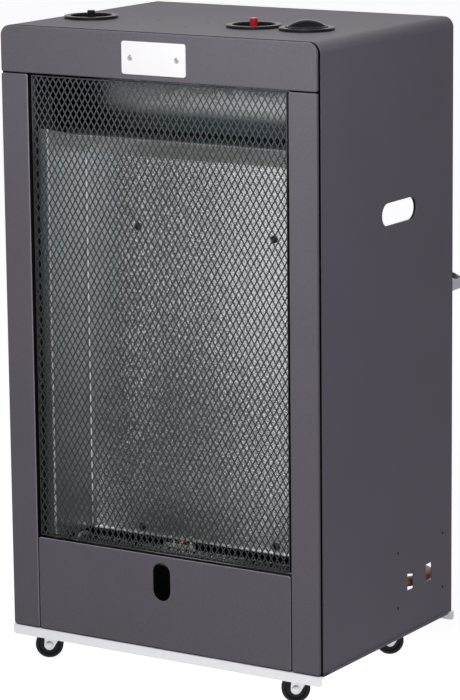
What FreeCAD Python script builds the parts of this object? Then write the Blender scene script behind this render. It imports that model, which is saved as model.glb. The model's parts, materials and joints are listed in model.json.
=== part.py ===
import FreeCAD, Part
import math
import os

# A cabinet gas heater on four casters: a bent sheet cabinet with a guarded heating chamber in front,
# controls in the top deck, and a bay for a gas bottle that is open at the back.
# Millimetres. X runs to the viewer's right, Y from the front to the back, Z up from the floor.
# Pieces are placed by depth behind the front face and height above the tray, see at().

# Cabinet
CASING_WIDTH = 420.0
CASING_DEPTH = 308.5
CASING_HEIGHT = 710.0
CASING_SETBACK = 9.0
SHEET = 1.0
CASING_BEND = 12.0
HEM_DEPTH = 7.0
EDGE_ROUND = 0.8
FOOT_FLANGE = 12.0
FOOT_FLANGE_INSET = 45.0

# Front panels, which stand in front of the casing, and the guard between them
PANEL_GAP = 1.6
PANEL_RETURN = 6.0
PANEL_CORNER = 2.4
PANEL_ROUND = 1.5
PANEL_LIFT = 1.2
TAB_LENGTH = 24.0
TAB_FROM_END = 52.0
TAB_FROM_SIDE = 90.0
TAB_REACH = 10.0
TAB_FIT = 0.3
LEDGE_DEPTH = 11.0
LEDGE_WIDTH = 6.0
LEDGE_FIT = 0.2
FASCIA_HEIGHT = 54.0
POST_WIDTH = 36.0
LOWER_PANEL_HEIGHT = 111.0
LIGHTING_HOLE_WIDTH = 24.0
LIGHTING_HOLE_HEIGHT = 45.0
LIGHTING_HOLE_LEVEL = 80.5
GUARD_RECESS = 1.5
GUARD_SIDE_GAP = 3.6
GUARD_END_GAP = 2.6
GUARD_BORDER = 4.0
MESH_COLUMNS = 13
MESH_ROWS = 12
MESH_STRAND = 3.0

# Plate on the fascia
PLATE_WIDTH = 85.0
PLATE_HEIGHT = 37.0
PLATE_DROP = 28.3
PLATE_THICKNESS = 1.0
PLATE_CORNER = 3.0
RIVET_SPACING = 62.0
RIVET_DIAMETER = 3.0
RIVET_HEAD = 4.6
RIVET_HEAD_HEIGHT = 1.0

# Holes in the cabinet
GRIP_LENGTH = 79.0
GRIP_HEIGHT = 26.5
GRIP_DEPTH = 182.0
GRIP_DROP = 209.2
GRIP_COLLAR = 3.0
SLOT_WIDTH = 14.0
SLOT_HEIGHT = 21.0
SLOT_DEPTH = 230.25
SLOT_SPACING = 44.1
SLOT_LEVEL = 61.5
SMALL_HOLE = 3.5
SIDE_HOLES_ALONG = 107.3
SIDE_HOLES_RISE = 66.0
SIDE_HOLES_DEPTH = 232.7
SIDE_HOLES_LEVEL = 68.2
DECK_HOLES_ACROSS = 67.0
DECK_HOLES_ALONG = 47.0
DECK_HOLES_X = -39.7
DECK_HOLES_DEPTH = 99.0

# Tray
TRAY_SHEET = 1.2
TRAY_SETBACK = 1.5
TRAY_LIP = 3.0
TRAY_FLANGE = 12.0
TRAY_OVERHANG = 2.0
TRAY_BEND = 2.4
TRAY_CORNER = 4.0

# Casters
CASTER_HEIGHT = 43.5
CASTER_FROM_SIDE = 39.0
CASTER_FROM_FRONT = 40.5
CASTER_FROM_REAR = 52.0
CASTER_TRAIL = 14.0
CASTER_TURN = 212.4
WHEEL_DIAMETER = 33.0
WHEEL_WIDTH = 13.0
WHEEL_ROUND = 2.5
WHEEL_HUB = 12.0
WHEEL_TYRE = 4.0
WHEEL_DISH = 2.0
WHEEL_WEB_SLOPE = 1.0
WHEEL_SIDE_GAP = 0.8
WHEEL_TOP_GAP = 3.2
WHEEL_FIT = 0.05
FORK_SHEET = 1.5
FORK_CROWN = 26.0
FORK_END = 12.0
FORK_TOP_FRONT = 4.5
FORK_TOP_BACK = 6.0
AXLE_DIAMETER = 5.0
AXLE_HEAD = 9.5
AXLE_HEAD_HEIGHT = 2.2
STEM_DIAMETER = 8.0
STEM_HEAD = 14.0
STEM_HEAD_HEIGHT = 1.6
STEM_PLATE = 28.0
STEM_PLATE_HEIGHT = 1.2
STEM_RACE = 24.0
STEM_RACE_HEIGHT = 2.2
STEM_NECK = 19.0
STEM_FIT = 0.1
SWIVEL_GAP = 0.3

# Bezels and controls in the deck
CONTROL_DEPTH = 109.5
CONTROL_FROM_RIGHT = 77.5
IGNITER_SPACING = 69.5
PILOT_FROM_LEFT = 51.0
BEZEL_DIAMETER = 63.0
BEZEL_RISE = 3.5
BEZEL_ROUND = 1.4
BEZEL_BORE = 48.4
CUP_WALL = 2.0
CUP_DEPTH = 10.0
CUP_FLOOR = 2.0
CUP_FIT = 0.3
KNOB_DIAMETER = 45.0
KNOB_RISE = 11.3
KNOB_SKIRT_RISE = 4.6
KNOB_GRIP_WIDTH = 11.0
KNOB_GRIP_LENGTH = 43.0
KNOB_TURN = 32.4
KNOB_ROUND = 1.5
KNOB_SOCKET = 12.0
KNOB_STEP_LENGTH = 3.5
PUSH_TRAVEL = 3.0
PUSH_CLEARANCE = 1.0
SPINDLE_DIAMETER = 8.0
SPINDLE_FIT = 0.1
SPINDLE_ENGAGE = 12.0
COLLAR_DIAMETER = 14.0
COLLAR_HEIGHT = 2.0
BUTTON_DIAMETER = 9.2
BUTTON_FIT = 0.1
BUTTON_ROUND = 1.2
BUTTON_ENGAGE = 6.0
GUIDE_RISE = 3.0
GUIDE_NECK = 13.0
GUIDE_FLANGE = 26.0
GUIDE_FLANGE_HEIGHT = 5.0
GUIDE_BARREL = 18.0
IGNITER_RISE = 10.4
IGNITER_TRAVEL = 5.0
IGNITER_LENGTH = 52.0
PILOT_RISE = 9.0
PILOT_TRAVEL = 4.0
PILOT_LENGTH = 30.0

# Gas valve
VALVE_WIDTH = 50.0
VALVE_DEPTH = 34.0
VALVE_HEIGHT = 32.0
VALVE_DROP = 14.0
VALVE_SPIGOT = 20.0
VALVE_SPIGOT_HEIGHT = 4.0
BRACKET_SHEET = 1.5
BRACKET_DEPTH = 28.0
BRACKET_LEG = 36.0
BRACKET_HOLE = 18.0
INLET_DIAMETER = 14.0
INLET_COLLAR = 17.0
INLET_COLLAR_HEIGHT = 10.0

# Partition, reflector and deflector
PARTITION_DEPTH = 124.5
PARTITION_DROP = 110.0
PARTITION_FLANGE = 14.0
PARTITION_FOOT = 15.0
CHAMBER_FROM_SIDE = 46.0
CHAMBER_FRONT = 24.5
CHAMBER_BACK = 101.5
CHAMBER_BOTTOM = 103.0
CHAMBER_DROP = 46.0
REFLECTOR_FLANGE = 17.0
REFLECTOR_LIP = 5.0
REFLECTOR_BEND = 2.5
REFLECTOR_LAP = 5.0
HOOD_RUN = 23.0
HOOD_LAP = 13.0
HOOD_SIDE_GAP = 0.3
SIDE_RISE = 13.0
SCREW_SPACING = 186.0
SCREW_FROM_TOP = 82.5
SCREW_FROM_BOTTOM = 8.5
SCREW_DIAMETER = 4.0
SCREW_HEAD = 9.0
SCREW_HEAD_HEIGHT = 3.0
SCREW_FIT = 0.1
STANDOFF_DIAMETER = 9.0
DEFLECTOR_FRONT = 22.0
DEFLECTOR_DEPTH = 98.0
DEFLECTOR_DROP = 125.0
DEFLECTOR_LAP = 12.0
DEFLECTOR_BEND = 2.5
DEFLECTOR_RADIUS = 90.0
DEFLECTOR_SLOPE = 40.0

# Burner and pilot
BURNER_DIAMETER = 24.0
BURNER_WALL = 1.2
BURNER_DEPTH = 56.5
BURNER_LEVEL = 94.0
BURNER_FROM_CHAMBER = 8.0
PORT_COUNT = 25
PORT_WIDTH = 2.2
PORT_FROM_END = 16.8
PORT_LENGTH = 13.0
HOLDER_SHEET = 1.5
HOLDER_WIDTH = 30.0
HOLDER_RIM = 3.0
HOLDER_FOOT = 18.0
HOLDER_FROM_END = 8.0
HOLDER_FIT = 0.1
INJECTOR_SHANK = 12.0
INJECTOR_SHANK_LENGTH = 6.0
INJECTOR_NUT = 15.0
INJECTOR_NUT_LENGTH = 9.0
PILOT_X = -20.0
PILOT_SPACING = 12.0
PILOT_DEPTH = 75.5
PILOT_TAB_LEVEL = 88.0
PILOT_TAB_WIDTH = 44.0
PILOT_TAB_DEPTH = 14.0
PILOT_PLATE_HEIGHT = 20.0
PILOT_SHEET = 1.2
PILOT_FIT = 0.1
PILOT_BODY = 7.0
PILOT_HEAD = 9.0
PILOT_HEAD_HEIGHT = 6.0
PILOT_TOP = 110.0
PILOT_FOOT = 80.0
PILOT_SHOULDER = 10.0
PILOT_SHOULDER_HEIGHT = 2.0
PROBE_DIAMETER = 5.0
PROBE_TOP = 116.0
PROBE_NUT_HEIGHT = 3.0
ELECTRODE_DIAMETER = 6.0
ELECTRODE_TOP = 103.0
SPARK_WIRE = 1.6
SPARK_WIRE_TOP = 114.0

# Pipes and leads; they cross the partition low down and rise behind it to the valve
GAS_PIPE = 8.0
GAS_PIPE_BEND = 10.0
GAS_PIPE_DEPTH = 13.0
GAS_PIPE_JOG = 60.0
GAS_PIPE_STRAIGHT = 44.0
GAS_OUTLET = 2.5
PILOT_PIPE = 4.0
PILOT_PIPE_BEND = 8.0
PILOT_PIPE_DEPTH = 12.0
PILOT_PIPE_LEVEL = 62.0
PILOT_PIPE_FROM_VALVE = 48.5
PILOT_OUTLET = 18.5
PILOT_OUTLET_DROP = 9.0
PROBE_LEAD = 3.0
PROBE_LEAD_DEPTH = 18.0
PROBE_LEAD_LEVEL = 54.0
PROBE_LEAD_FROM_VALVE = 58.5
PROBE_OUTLET = 10.5
PROBE_OUTLET_DROP = 4.0
SPARK_LEAD = 3.5
SPARK_LEAD_DEPTH = 11.0
SPARK_LEAD_LEVEL = 46.0
SPARK_LEAD_RISE = 6.0
LEAD_BEND = 7.0
LEAD_CLEARANCE = 12.0
LEAD_JOG = 44.0
LEAD_STRAIGHT = 26.0
HOLE_ROOM = 2.0

# Bottle bar
BAR_LEVEL = 388.0
BAR_WEB = 12.0
BAR_SHEET = 1.5
BAR_FLANGE = 13.0
BAR_REACH = 54.0
BAR_CORNER = 25.0
BAR_ARM = 50.0
BAR_SIDE_GAP = 0.2
BAR_NOTCH = 4.0

# Hose and its regulator; each point is given from the right side, by depth and, in the loop, by height
HOSE_DIAMETER = 12.0
HOSE_TOP_DROP = 110.0
HOSE_FALL_END = 112.0
HOSE_FALL = [
    (62.0, 156.5),
    (62.0, 156.5),
    (60.5, 158.0),
    (55.5, 157.5),
    (42.0, 156.5),
    (24.0, 156.5),
    (13.0, 156.0),
    (10.0, 155.0),
    (9.5, 156.0),
    (9.5, 157.5),
]
HOSE_LOOP = [
    (9.5, 175.0, 77.0),
    (9.5, 207.5, 56.5),
    (9.5, 270.5, 51.5),
    (28.5, 303.4, 47.5),
    (61.4, 322.4, 40.5),
    (99.4, 322.4, 32.0),
    (132.3, 303.4, 24.0),
    (151.3, 270.5, 18.5),
    (151.3, 233.0, 18.5),
]
FERRULE_WALL = 2.0
FERRULE_LENGTH = 16.0
FERRULE_FIT = 0.05
REGULATOR_DIAMETER = 52.0
REGULATOR_RIM = 9.0
REGULATOR_DOME = 36.0
REGULATOR_HEIGHT = 34.0
REGULATOR_STEP = 3.0
REGULATOR_NIPPLE = 14.0
REGULATOR_NIPPLE_LENGTH = 7.0
REGULATOR_SPIGOT = 13.0
REGULATOR_SPIGOT_LENGTH = 20.0
REGULATOR_SEAT = 19.0
REGULATOR_SEAT_LENGTH = 4.0
NUT_ACROSS_FLATS = 27.0
NUT_BORE = 21.8
NUT_THREAD = 10.0
NUT_WALL = 5.0
NUT_RELIEF = 0.8
NUT_FIT = 0.1
NUT_END_GAP = 0.4

# Places that follow from those sizes
TRAY_TOP = CASTER_HEIGHT + TRAY_SHEET
PLATE_PROUD = PLATE_THICKNESS + RIVET_HEAD_HEIGHT
FRONT_Y = PLATE_PROUD - (PLATE_PROUD + CASING_DEPTH + BAR_REACH) / 2
CASING_HALF = CASING_WIDTH / 2
INNER_HALF = CASING_HALF - SHEET
POST_INNER = CASING_HALF - POST_WIDTH
SEAM_LEVEL = CASING_HEIGHT - FASCIA_HEIGHT
PLATE_LEVEL = CASING_HEIGHT - PLATE_DROP
GRIP_LEVEL = CASING_HEIGHT - GRIP_DROP
PARTITION_TOP = CASING_HEIGHT - PARTITION_DROP
PARTITION_REAR = PARTITION_DEPTH + SHEET
CHAMBER_HALF = CASING_HALF - CHAMBER_FROM_SIDE
CHAMBER_TOP = PARTITION_TOP - CHAMBER_DROP
BURNER_HALF = CHAMBER_HALF - BURNER_FROM_CHAMBER
CONTROL_X = CASING_HALF - CONTROL_FROM_RIGHT
IGNITER_X = CONTROL_X - IGNITER_SPACING
PILOT_BUTTON_X = PILOT_FROM_LEFT - CASING_HALF
CUP_TOP = CASING_HEIGHT - CUP_DEPTH
CUP_UNDER = CUP_TOP - CUP_FLOOR
KNOB_BASE = CUP_TOP + PUSH_TRAVEL + PUSH_CLEARANCE
SPIGOT_TOP = CUP_UNDER - VALVE_DROP
VALVE_TOP = SPIGOT_TOP - VALVE_SPIGOT_HEIGHT
VALVE_REAR = CONTROL_DEPTH + VALVE_DEPTH / 2
GAS_PIPE_X = BURNER_HALF + INJECTOR_SHANK_LENGTH + INJECTOR_NUT_LENGTH + GAS_PIPE_BEND + GAS_PIPE / 2

V = FreeCAD.Vector
UP = V(0, 0, 1)
BACK = V(0, 1, 0)
RIGHT = V(1, 0, 0)


def at(x, depth, height):
    """The point x across, depth behind the front face and height above the tray."""
    return V(x, FRONT_Y + depth, TRAY_TOP + height)


def block(x0, x1, depth0, depth1, height0, height1):
    """A rectangular block between two corners."""
    return Part.makeBox(x1 - x0, depth1 - depth0, height1 - height0, at(x0, depth0, height0))


def rod(start, end, diameter):
    """A round rod between two points."""
    return Part.makeCylinder(diameter / 2, (end - start).Length, start, end - start)


def wire(corners, radii, place):
    """A closed wire through 2-D corners, each rounded by its radius and set in space by place."""
    flat = [V(u, v, 0) for u, v in corners]
    edges = []
    ends = []
    for i, corner in enumerate(flat):
        back = (flat[i - 1] - corner).normalize()
        ahead = (flat[(i + 1) % len(flat)] - corner).normalize()
        if radii[i] <= 0:
            ends.append((corner, None, corner))
            continue
        half = back.getAngle(ahead) / 2
        bisector = (back + ahead).normalize()
        middle = corner + bisector * (radii[i] / math.sin(half) - radii[i])
        reach = radii[i] / math.tan(half)
        ends.append((corner + back * reach, middle, corner + ahead * reach))
    for i, (start, middle, end) in enumerate(ends):
        before = ends[i - 1][2]
        if (start - before).Length > 1e-6:
            edges.append(Part.LineSegment(place(before.x, before.y), place(start.x, start.y)).toShape())
        if middle is not None:
            points = [place(p.x, p.y) for p in (start, middle, end)]
            edges.append(Part.Arc(*points).toShape())
    return Part.Wire(edges)


def facing_front(depth):
    """Places 2-D points, across and up, at one depth."""
    return lambda u, v: at(u, depth, v)


def facing_side(x):
    """Places 2-D points, depth and up, at one x."""
    return lambda u, v: at(x, u, v)


def facing_up(height):
    """Places 2-D points, across and depth, at one height."""
    return lambda u, v: at(u, v, height)


def plate(corners, radii, place, thickness):
    """A flat plate with rounded corners; thickness is a vector."""
    return Part.Face(wire(corners, radii, place)).extrude(thickness)


def rectangle(u0, u1, v0, v1):
    """The four corners of a rectangle, counter-clockwise from the lower left."""
    return [(u0, v0), (u1, v0), (u1, v1), (u0, v1)]


def oblong(u, v, width, height):
    """Corners and radii of a round-ended hole about a middle."""
    corners = rectangle(u - width / 2, u + width / 2, v - height / 2, v + height / 2)
    return corners, [min(width, height) / 2] * 4


def turned(profile, foot, axis):
    """A turned solid; profile is radius and distance along the axis from foot."""
    flat = [V(radius, 0, along) for radius, along in profile]
    solid = Part.Face(Part.makePolygon(flat + flat[:1])).revolve(V(0, 0, 0), UP, 360)
    solid.Placement = FreeCAD.Placement(foot, FreeCAD.Rotation(UP, axis))
    return solid


def fused(first, others):
    """One solid of several that touch or overlap."""
    return first.fuse(others).removeSplitter()


def bent_path(points, radii):
    """A wire of straight runs joined by tangent arcs, one radius for each inner point."""
    edges = []
    last = points[0]
    for i, radius in enumerate(radii):
        corner = points[i + 1]
        back = (points[i] - corner).normalize()
        ahead = (points[i + 2] - corner).normalize()
        half = back.getAngle(ahead) / 2
        reach = radius / math.tan(half)
        bisector = (back + ahead).normalize()
        middle = corner + bisector * (radius / math.sin(half) - radius)
        start = corner + back * reach
        edges.append(Part.LineSegment(last, start).toShape())
        last = corner + ahead * reach
        edges.append(Part.Arc(start, middle, last).toShape())
    edges.append(Part.LineSegment(last, points[-1]).toShape())
    return Part.Wire(edges)


def tube(points, radii, diameter):
    """A solid round tube along a bent path."""
    path = bent_path(points, radii)
    section = Part.Wire(Part.makeCircle(diameter / 2, points[0], points[1] - points[0]))
    return path.makePipeShell([section], True, False)


def pipe(route, diameter, bend):
    """A pipe through points given as across, depth and height, with one bend radius."""
    points = [at(*point) for point in route]
    return tube(points, [bend] * (len(points) - 2), diameter)


def edges_at_depth(shape, depth):
    """The edges of a shape that lie flat at one depth."""
    level = FRONT_Y + depth
    return [e for e in shape.Edges if e.BoundBox.YLength < 1e-6 and abs(e.BoundBox.YMin - level) < 1e-6]


def pan(x0, x1, height0, height1, top_radii, fold):
    """A front panel: a rounded face with its edges folded back all round."""
    radii = [PANEL_CORNER, PANEL_CORNER] + top_radii
    body = plate(rectangle(x0, x1, height0, height1), radii, facing_front(0), BACK * fold)
    body = body.makeFillet(PANEL_ROUND, edges_at_depth(body, 0))
    corners = rectangle(x0 + SHEET, x1 - SHEET, height0 + SHEET, height1 - SHEET)
    inner = [radius - SHEET for radius in radii]
    return body.cut(plate(corners, inner, facing_front(SHEET), BACK * fold))


def side_tab(side, level):
    """A stepped tab that leads from a front panel to the inside of the casing's hem."""
    near = CASING_HALF - 2 * SHEET - TAB_FIT - SHEET
    step = sorted((side * near, side * (CASING_HALF - SHEET)))
    tongue = sorted((side * near, side * (near + SHEET)))
    heights = level - TAB_LENGTH / 2, level + TAB_LENGTH / 2
    return [block(*step, PANEL_RETURN - SHEET, PANEL_RETURN, *heights),
            block(*tongue, PANEL_RETURN - SHEET, CASING_SETBACK + TAB_REACH, *heights)]


def top_tab(x):
    """The same tab under the deck."""
    near = CASING_HEIGHT - 2 * SHEET - TAB_FIT - SHEET
    ends = x - TAB_LENGTH / 2, x + TAB_LENGTH / 2
    return [block(*ends, PANEL_RETURN - SHEET, PANEL_RETURN, near, CASING_HEIGHT - SHEET),
            block(*ends, PANEL_RETURN - SHEET, CASING_SETBACK + TAB_REACH, near, near + SHEET)]


def casing_section(inset, foot, depth0, depth1):
    """The solid inside an inverted U, inset from the casing's outer face."""
    half = CASING_HALF - inset
    corners = rectangle(-half, half, foot, CASING_HEIGHT - inset)
    radii = [0, 0, CASING_BEND - inset, CASING_BEND - inset]
    return plate(corners, radii, facing_front(depth0), BACK * (depth1 - depth0))


def hole_pattern(middle_u, middle_v, along_u, along_v):
    """The four corners of a hole pattern about its middle."""
    return [(middle_u + su * along_u / 2, middle_v + sv * along_v / 2) for su in (-1, 1) for sv in (-1, 1)]


def casing_wrap():
    """Top deck and sides: one sheet bent twice, hemmed at the front and the rear."""
    front = CASING_SETBACK
    outer = casing_section(0, 0, front, CASING_DEPTH)
    foot = TRAY_TOP
    rims = [e for e in edges_at_depth(outer, front) if e.BoundBox.ZMax > foot + 1e-6]
    outer = outer.makeFillet(EDGE_ROUND, rims)
    wrap = outer.cut(casing_section(2 * SHEET, -SHEET, front - SHEET, CASING_DEPTH + SHEET))
    wrap = wrap.cut(casing_section(SHEET, -SHEET, front + HEM_DEPTH, CASING_DEPTH - HEM_DEPTH))
    added = []
    holes = []
    grip, grip_radii = oblong(GRIP_DEPTH, GRIP_LEVEL, GRIP_LENGTH, GRIP_HEIGHT)
    rim, rim_radii = oblong(GRIP_DEPTH, GRIP_LEVEL, GRIP_LENGTH + 2 * SHEET, GRIP_HEIGHT + 2 * SHEET)
    for side in (-1, 1):
        inward = RIGHT * -side
        wall = facing_side(side * INNER_HALF)
        added.append(plate(rim, rim_radii, wall, inward * GRIP_COLLAR))
        through = inward * (SHEET + GRIP_COLLAR)
        holes.append(plate(grip, grip_radii, facing_side(side * CASING_HALF), through))
        edge = sorted((side * INNER_HALF, side * (INNER_HALF - FOOT_FLANGE)))
        foot_end = PARTITION_DEPTH - PARTITION_FOOT - PANEL_GAP
        added.append(block(*edge, FOOT_FLANGE_INSET, foot_end, 0, SHEET))
        rear = CASING_DEPTH - FOOT_FLANGE_INSET
        added.append(block(*edge, PARTITION_REAR + PARTITION_FLANGE + FOOT_FLANGE, rear, 0, SHEET))
    for x in (PILOT_BUTTON_X, IGNITER_X, CONTROL_X):
        diameter = BEZEL_BORE + 2 * CUP_WALL + 2 * CUP_FIT
        holes.append(rod(at(x, CONTROL_DEPTH, CUP_TOP), at(x, CONTROL_DEPTH, CASING_HEIGHT), diameter))
    for x, depth in hole_pattern(DECK_HOLES_X, DECK_HOLES_DEPTH, DECK_HOLES_ACROSS, DECK_HOLES_ALONG):
        holes.append(rod(at(x, depth, CASING_HEIGHT - SHEET), at(x, depth, CASING_HEIGHT), SMALL_HOLE))
    for depth, height in hole_pattern(SIDE_HOLES_DEPTH, SIDE_HOLES_LEVEL, SIDE_HOLES_ALONG, SIDE_HOLES_RISE):
        holes.append(rod(at(INNER_HALF, depth, height), at(CASING_HALF, depth, height), SMALL_HOLE))
    for depth in (SLOT_DEPTH - SLOT_SPACING / 2, SLOT_DEPTH + SLOT_SPACING / 2):
        depths = depth - SLOT_WIDTH / 2, depth + SLOT_WIDTH / 2
        heights = SLOT_LEVEL - SLOT_HEIGHT / 2, SLOT_LEVEL + SLOT_HEIGHT / 2
        holes.append(block(INNER_HALF, CASING_HALF, *depths, *heights))
    return wrap.fuse(added).cut(holes).removeSplitter()


def front_fascia():
    """Upper front panel, with the outline of the casing at its top."""
    low = SEAM_LEVEL + PANEL_GAP / 2
    fascia = pan(-CASING_HALF, CASING_HALF, low, CASING_HEIGHT, [CASING_BEND, CASING_BEND], PANEL_RETURN)
    level = (SEAM_LEVEL + CASING_HEIGHT) / 2
    tab_x = CASING_HALF - TAB_FROM_SIDE
    tabs = side_tab(-1, level) + side_tab(1, level) + top_tab(-tab_x) + top_tab(tab_x)
    return fused(fascia, tabs).cut(plate_holes())


def plate_holes():
    """The rivet holes that the plate and the fascia share."""
    ends = (-PLATE_THICKNESS, SHEET)
    return [rod(*[at(x, depth, PLATE_LEVEL) for depth in ends], RIVET_DIAMETER)
            for x in (-RIVET_SPACING / 2, RIVET_SPACING / 2)]


def front_post(side):
    """A post beside the guard, with a ledge behind the edges of the guard and the lower panel."""
    x0, x1 = sorted((side * POST_INNER, side * CASING_HALF))
    high = SEAM_LEVEL - PANEL_GAP / 2
    post = pan(x0, x1, PANEL_LIFT, high, [PANEL_CORNER, PANEL_CORNER], PANEL_RETURN)
    heights = PANEL_LIFT + PANEL_CORNER, high - PANEL_CORNER
    fold = sorted((side * POST_INNER, side * (POST_INNER + SHEET)))
    ledge = sorted((side * (POST_INNER - LEDGE_WIDTH), side * (POST_INNER + SHEET)))
    added = [block(*fold, PANEL_RETURN - SHEET, LEDGE_DEPTH + SHEET, *heights),
             block(*ledge, LEDGE_DEPTH, LEDGE_DEPTH + SHEET, *heights)]
    for level in (TAB_FROM_END, high / 2, high - TAB_FROM_END):
        added += side_tab(side, level)
    return fused(post, added)


def lower_front_panel():
    """Lower front panel with the oblong hole through which the pilot is lit."""
    half = POST_INNER - PANEL_GAP
    corner = [PANEL_CORNER, PANEL_CORNER]
    panel = pan(-half, half, PANEL_LIFT, LOWER_PANEL_HEIGHT, corner, LEDGE_DEPTH - LEDGE_FIT)
    corners, radii = oblong(0, LIGHTING_HOLE_LEVEL, LIGHTING_HOLE_WIDTH, LIGHTING_HOLE_HEIGHT)
    return panel.cut(plate(corners, radii, facing_front(0), BACK * SHEET))


def mesh_guard():
    """Expanded-metal guard: one holed sheet with its border folded back."""
    half = POST_INNER - GUARD_SIDE_GAP
    low = LOWER_PANEL_HEIGHT + GUARD_END_GAP
    high = SEAM_LEVEL + PANEL_GAP / 2 - GUARD_END_GAP
    outer = wire(rectangle(-half, half, low, high), [0] * 4, facing_front(GUARD_RECESS))
    step_x = 2 * (half - GUARD_BORDER) / MESH_COLUMNS
    step_z = (high - low - 2 * GUARD_BORDER) / MESH_ROWS
    strand = MESH_STRAND / 2 * math.hypot(step_x, step_z)
    reach_x = step_x / 2 - strand / step_z
    reach_z = step_z / 2 - strand / step_x
    middles = []
    for offset in (0, 1):
        for i in range(MESH_COLUMNS - offset):
            for j in range(MESH_ROWS - offset):
                x = -half + GUARD_BORDER + (i + (1 + offset) / 2) * step_x
                middles.append((x, low + GUARD_BORDER + (j + (1 + offset) / 2) * step_z))
    holes = []
    for x, z in middles:
        corners = [(x - reach_x, z), (x, z + reach_z), (x + reach_x, z), (x, z - reach_z)]
        holes.append(wire(corners, [0] * 4, facing_front(GUARD_RECESS)))
    net = Part.Face([outer] + holes).extrude(BACK * SHEET)
    rear = LEDGE_DEPTH - LEDGE_FIT
    border = block(-half, half, GUARD_RECESS + SHEET, rear, low, high)
    border = border.cut(block(-half + SHEET, half - SHEET, GUARD_RECESS, rear, low + SHEET, high - SHEET))
    return fused(net, [border])


def name_plate():
    """Bare plate on the fascia."""
    low = PLATE_LEVEL - PLATE_HEIGHT / 2
    corners = rectangle(-PLATE_WIDTH / 2, PLATE_WIDTH / 2, low, low + PLATE_HEIGHT)
    body = plate(corners, [PLATE_CORNER] * 4, facing_front(-PLATE_THICKNESS), BACK * PLATE_THICKNESS)
    return body.cut(plate_holes())


def name_plate_rivets():
    """Two rivets through the plate and the fascia."""
    shank = PLATE_THICKNESS + SHEET
    head = RIVET_HEAD / 2
    profile = [(0, 0), (RIVET_DIAMETER / 2, 0), (RIVET_DIAMETER / 2, shank), (head, shank),
               (head * 0.8, shank + RIVET_HEAD_HEIGHT * 0.7), (head * 0.4, shank + RIVET_HEAD_HEIGHT),
               (0, shank + RIVET_HEAD_HEIGHT)]
    places = [at(x, SHEET, PLATE_LEVEL) for x in (-RIVET_SPACING / 2, RIVET_SPACING / 2)]
    return [turned(profile, place, -BACK) for place in places]


def caster_places():
    """The swivel axes, by name, as across and depth."""
    x = CASING_HALF - CASTER_FROM_SIDE
    rear = CASING_DEPTH - CASTER_FROM_REAR
    return {
        "front_left": (-x, CASTER_FROM_FRONT),
        "front_right": (x, CASTER_FROM_FRONT),
        "rear_left": (-x, rear),
        "rear_right": (x, rear),
    }


def base_tray():
    """Tray with a folded flange along the front and the rear, drilled for the casters."""
    front = TRAY_SETBACK
    rear = CASING_DEPTH + TRAY_LIP
    half = CASING_HALF + TRAY_OVERHANG
    corners = [(front, -TRAY_FLANGE), (front, 0), (rear, 0), (rear, -TRAY_FLANGE),
               (rear - TRAY_SHEET, -TRAY_FLANGE), (rear - TRAY_SHEET, -TRAY_SHEET),
               (front + TRAY_SHEET, -TRAY_SHEET), (front + TRAY_SHEET, -TRAY_FLANGE)]
    inner_bend = TRAY_BEND - TRAY_SHEET
    radii = [0, TRAY_BEND, TRAY_BEND, 0, 0, inner_bend, inner_bend, 0]
    tray = plate(corners, radii, facing_side(-half), RIGHT * 2 * half)
    low = TRAY_TOP - TRAY_FLANGE
    ends = [e for e in tray.Edges if abs(e.BoundBox.ZMax - low) < 1e-6 and e.BoundBox.XLength < 1e-6]
    tray = tray.makeFillet(TRAY_CORNER, ends)
    diameter = STEM_DIAMETER + 2 * STEM_FIT
    return tray.cut([rod(at(x, depth, -TRAY_SHEET), at(x, depth, 0), diameter)
                     for x, depth in caster_places().values()])


def tangent_point(start, middle, radius, side):
    """Where a line from start touches a circle, on one side of it."""
    along = middle - start
    turn = side * math.asin(radius / along.Length)
    ray = FreeCAD.Rotation(UP, math.degrees(turn)).multVec(along.normalize())
    return start + ray * math.sqrt((middle - start).Length ** 2 - radius ** 2)


def fork_leg(crown_top):
    """A tapered fork leg with a round lower end, in the caster's own trail and height plane."""
    radius = FORK_END / 2
    axle = V(CASTER_TRAIL, WHEEL_DIAMETER / 2, 0)
    back = V(-FORK_TOP_BACK, crown_top, 0)
    front = V(CASTER_TRAIL + FORK_TOP_FRONT, crown_top, 0)
    touch_back = tangent_point(back, axle, radius, -1)
    touch_front = tangent_point(front, axle, radius, 1)
    lowest = axle - V(0, radius, 0)
    points = [V(p.x, 0, p.y) for p in (back, touch_back, lowest, touch_front, front)]
    edges = [Part.LineSegment(points[0], points[1]).toShape(),
             Part.Arc(points[1], points[2], points[3]).toShape(),
             Part.LineSegment(points[3], points[4]).toShape(),
             Part.LineSegment(points[4], points[0]).toShape()]
    return Part.Face(Part.Wire(edges))


def caster_fork():
    """A bent fork: a crown with a swivel hole and two legs, on the swivel axis with the trail along X."""
    crown = WHEEL_DIAMETER + WHEEL_TOP_GAP
    half = WHEEL_WIDTH / 2 + WHEEL_SIDE_GAP
    leg = fork_leg(crown + FORK_SHEET)
    legs = []
    for start in (-half - FORK_SHEET, half):
        side = leg.extrude(BACK * FORK_SHEET)
        side.translate(BACK * start)
        legs.append(side)
    width = 2 * (half + FORK_SHEET)
    bridge = Part.makeBox(CASTER_TRAIL + FORK_TOP_FRONT, width, FORK_SHEET, V(0, -width / 2, crown))
    disc = Part.makeCylinder(FORK_CROWN / 2, FORK_SHEET, V(0, 0, crown))
    fork = fused(disc, [bridge] + legs)
    swivel = Part.makeCylinder(STEM_DIAMETER / 2 + STEM_FIT, FORK_SHEET, V(0, 0, crown))
    axle = Part.makeCylinder(AXLE_DIAMETER / 2, width, V(CASTER_TRAIL, -width / 2, WHEEL_DIAMETER / 2), BACK)
    return fork.cut([swivel, axle])


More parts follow.
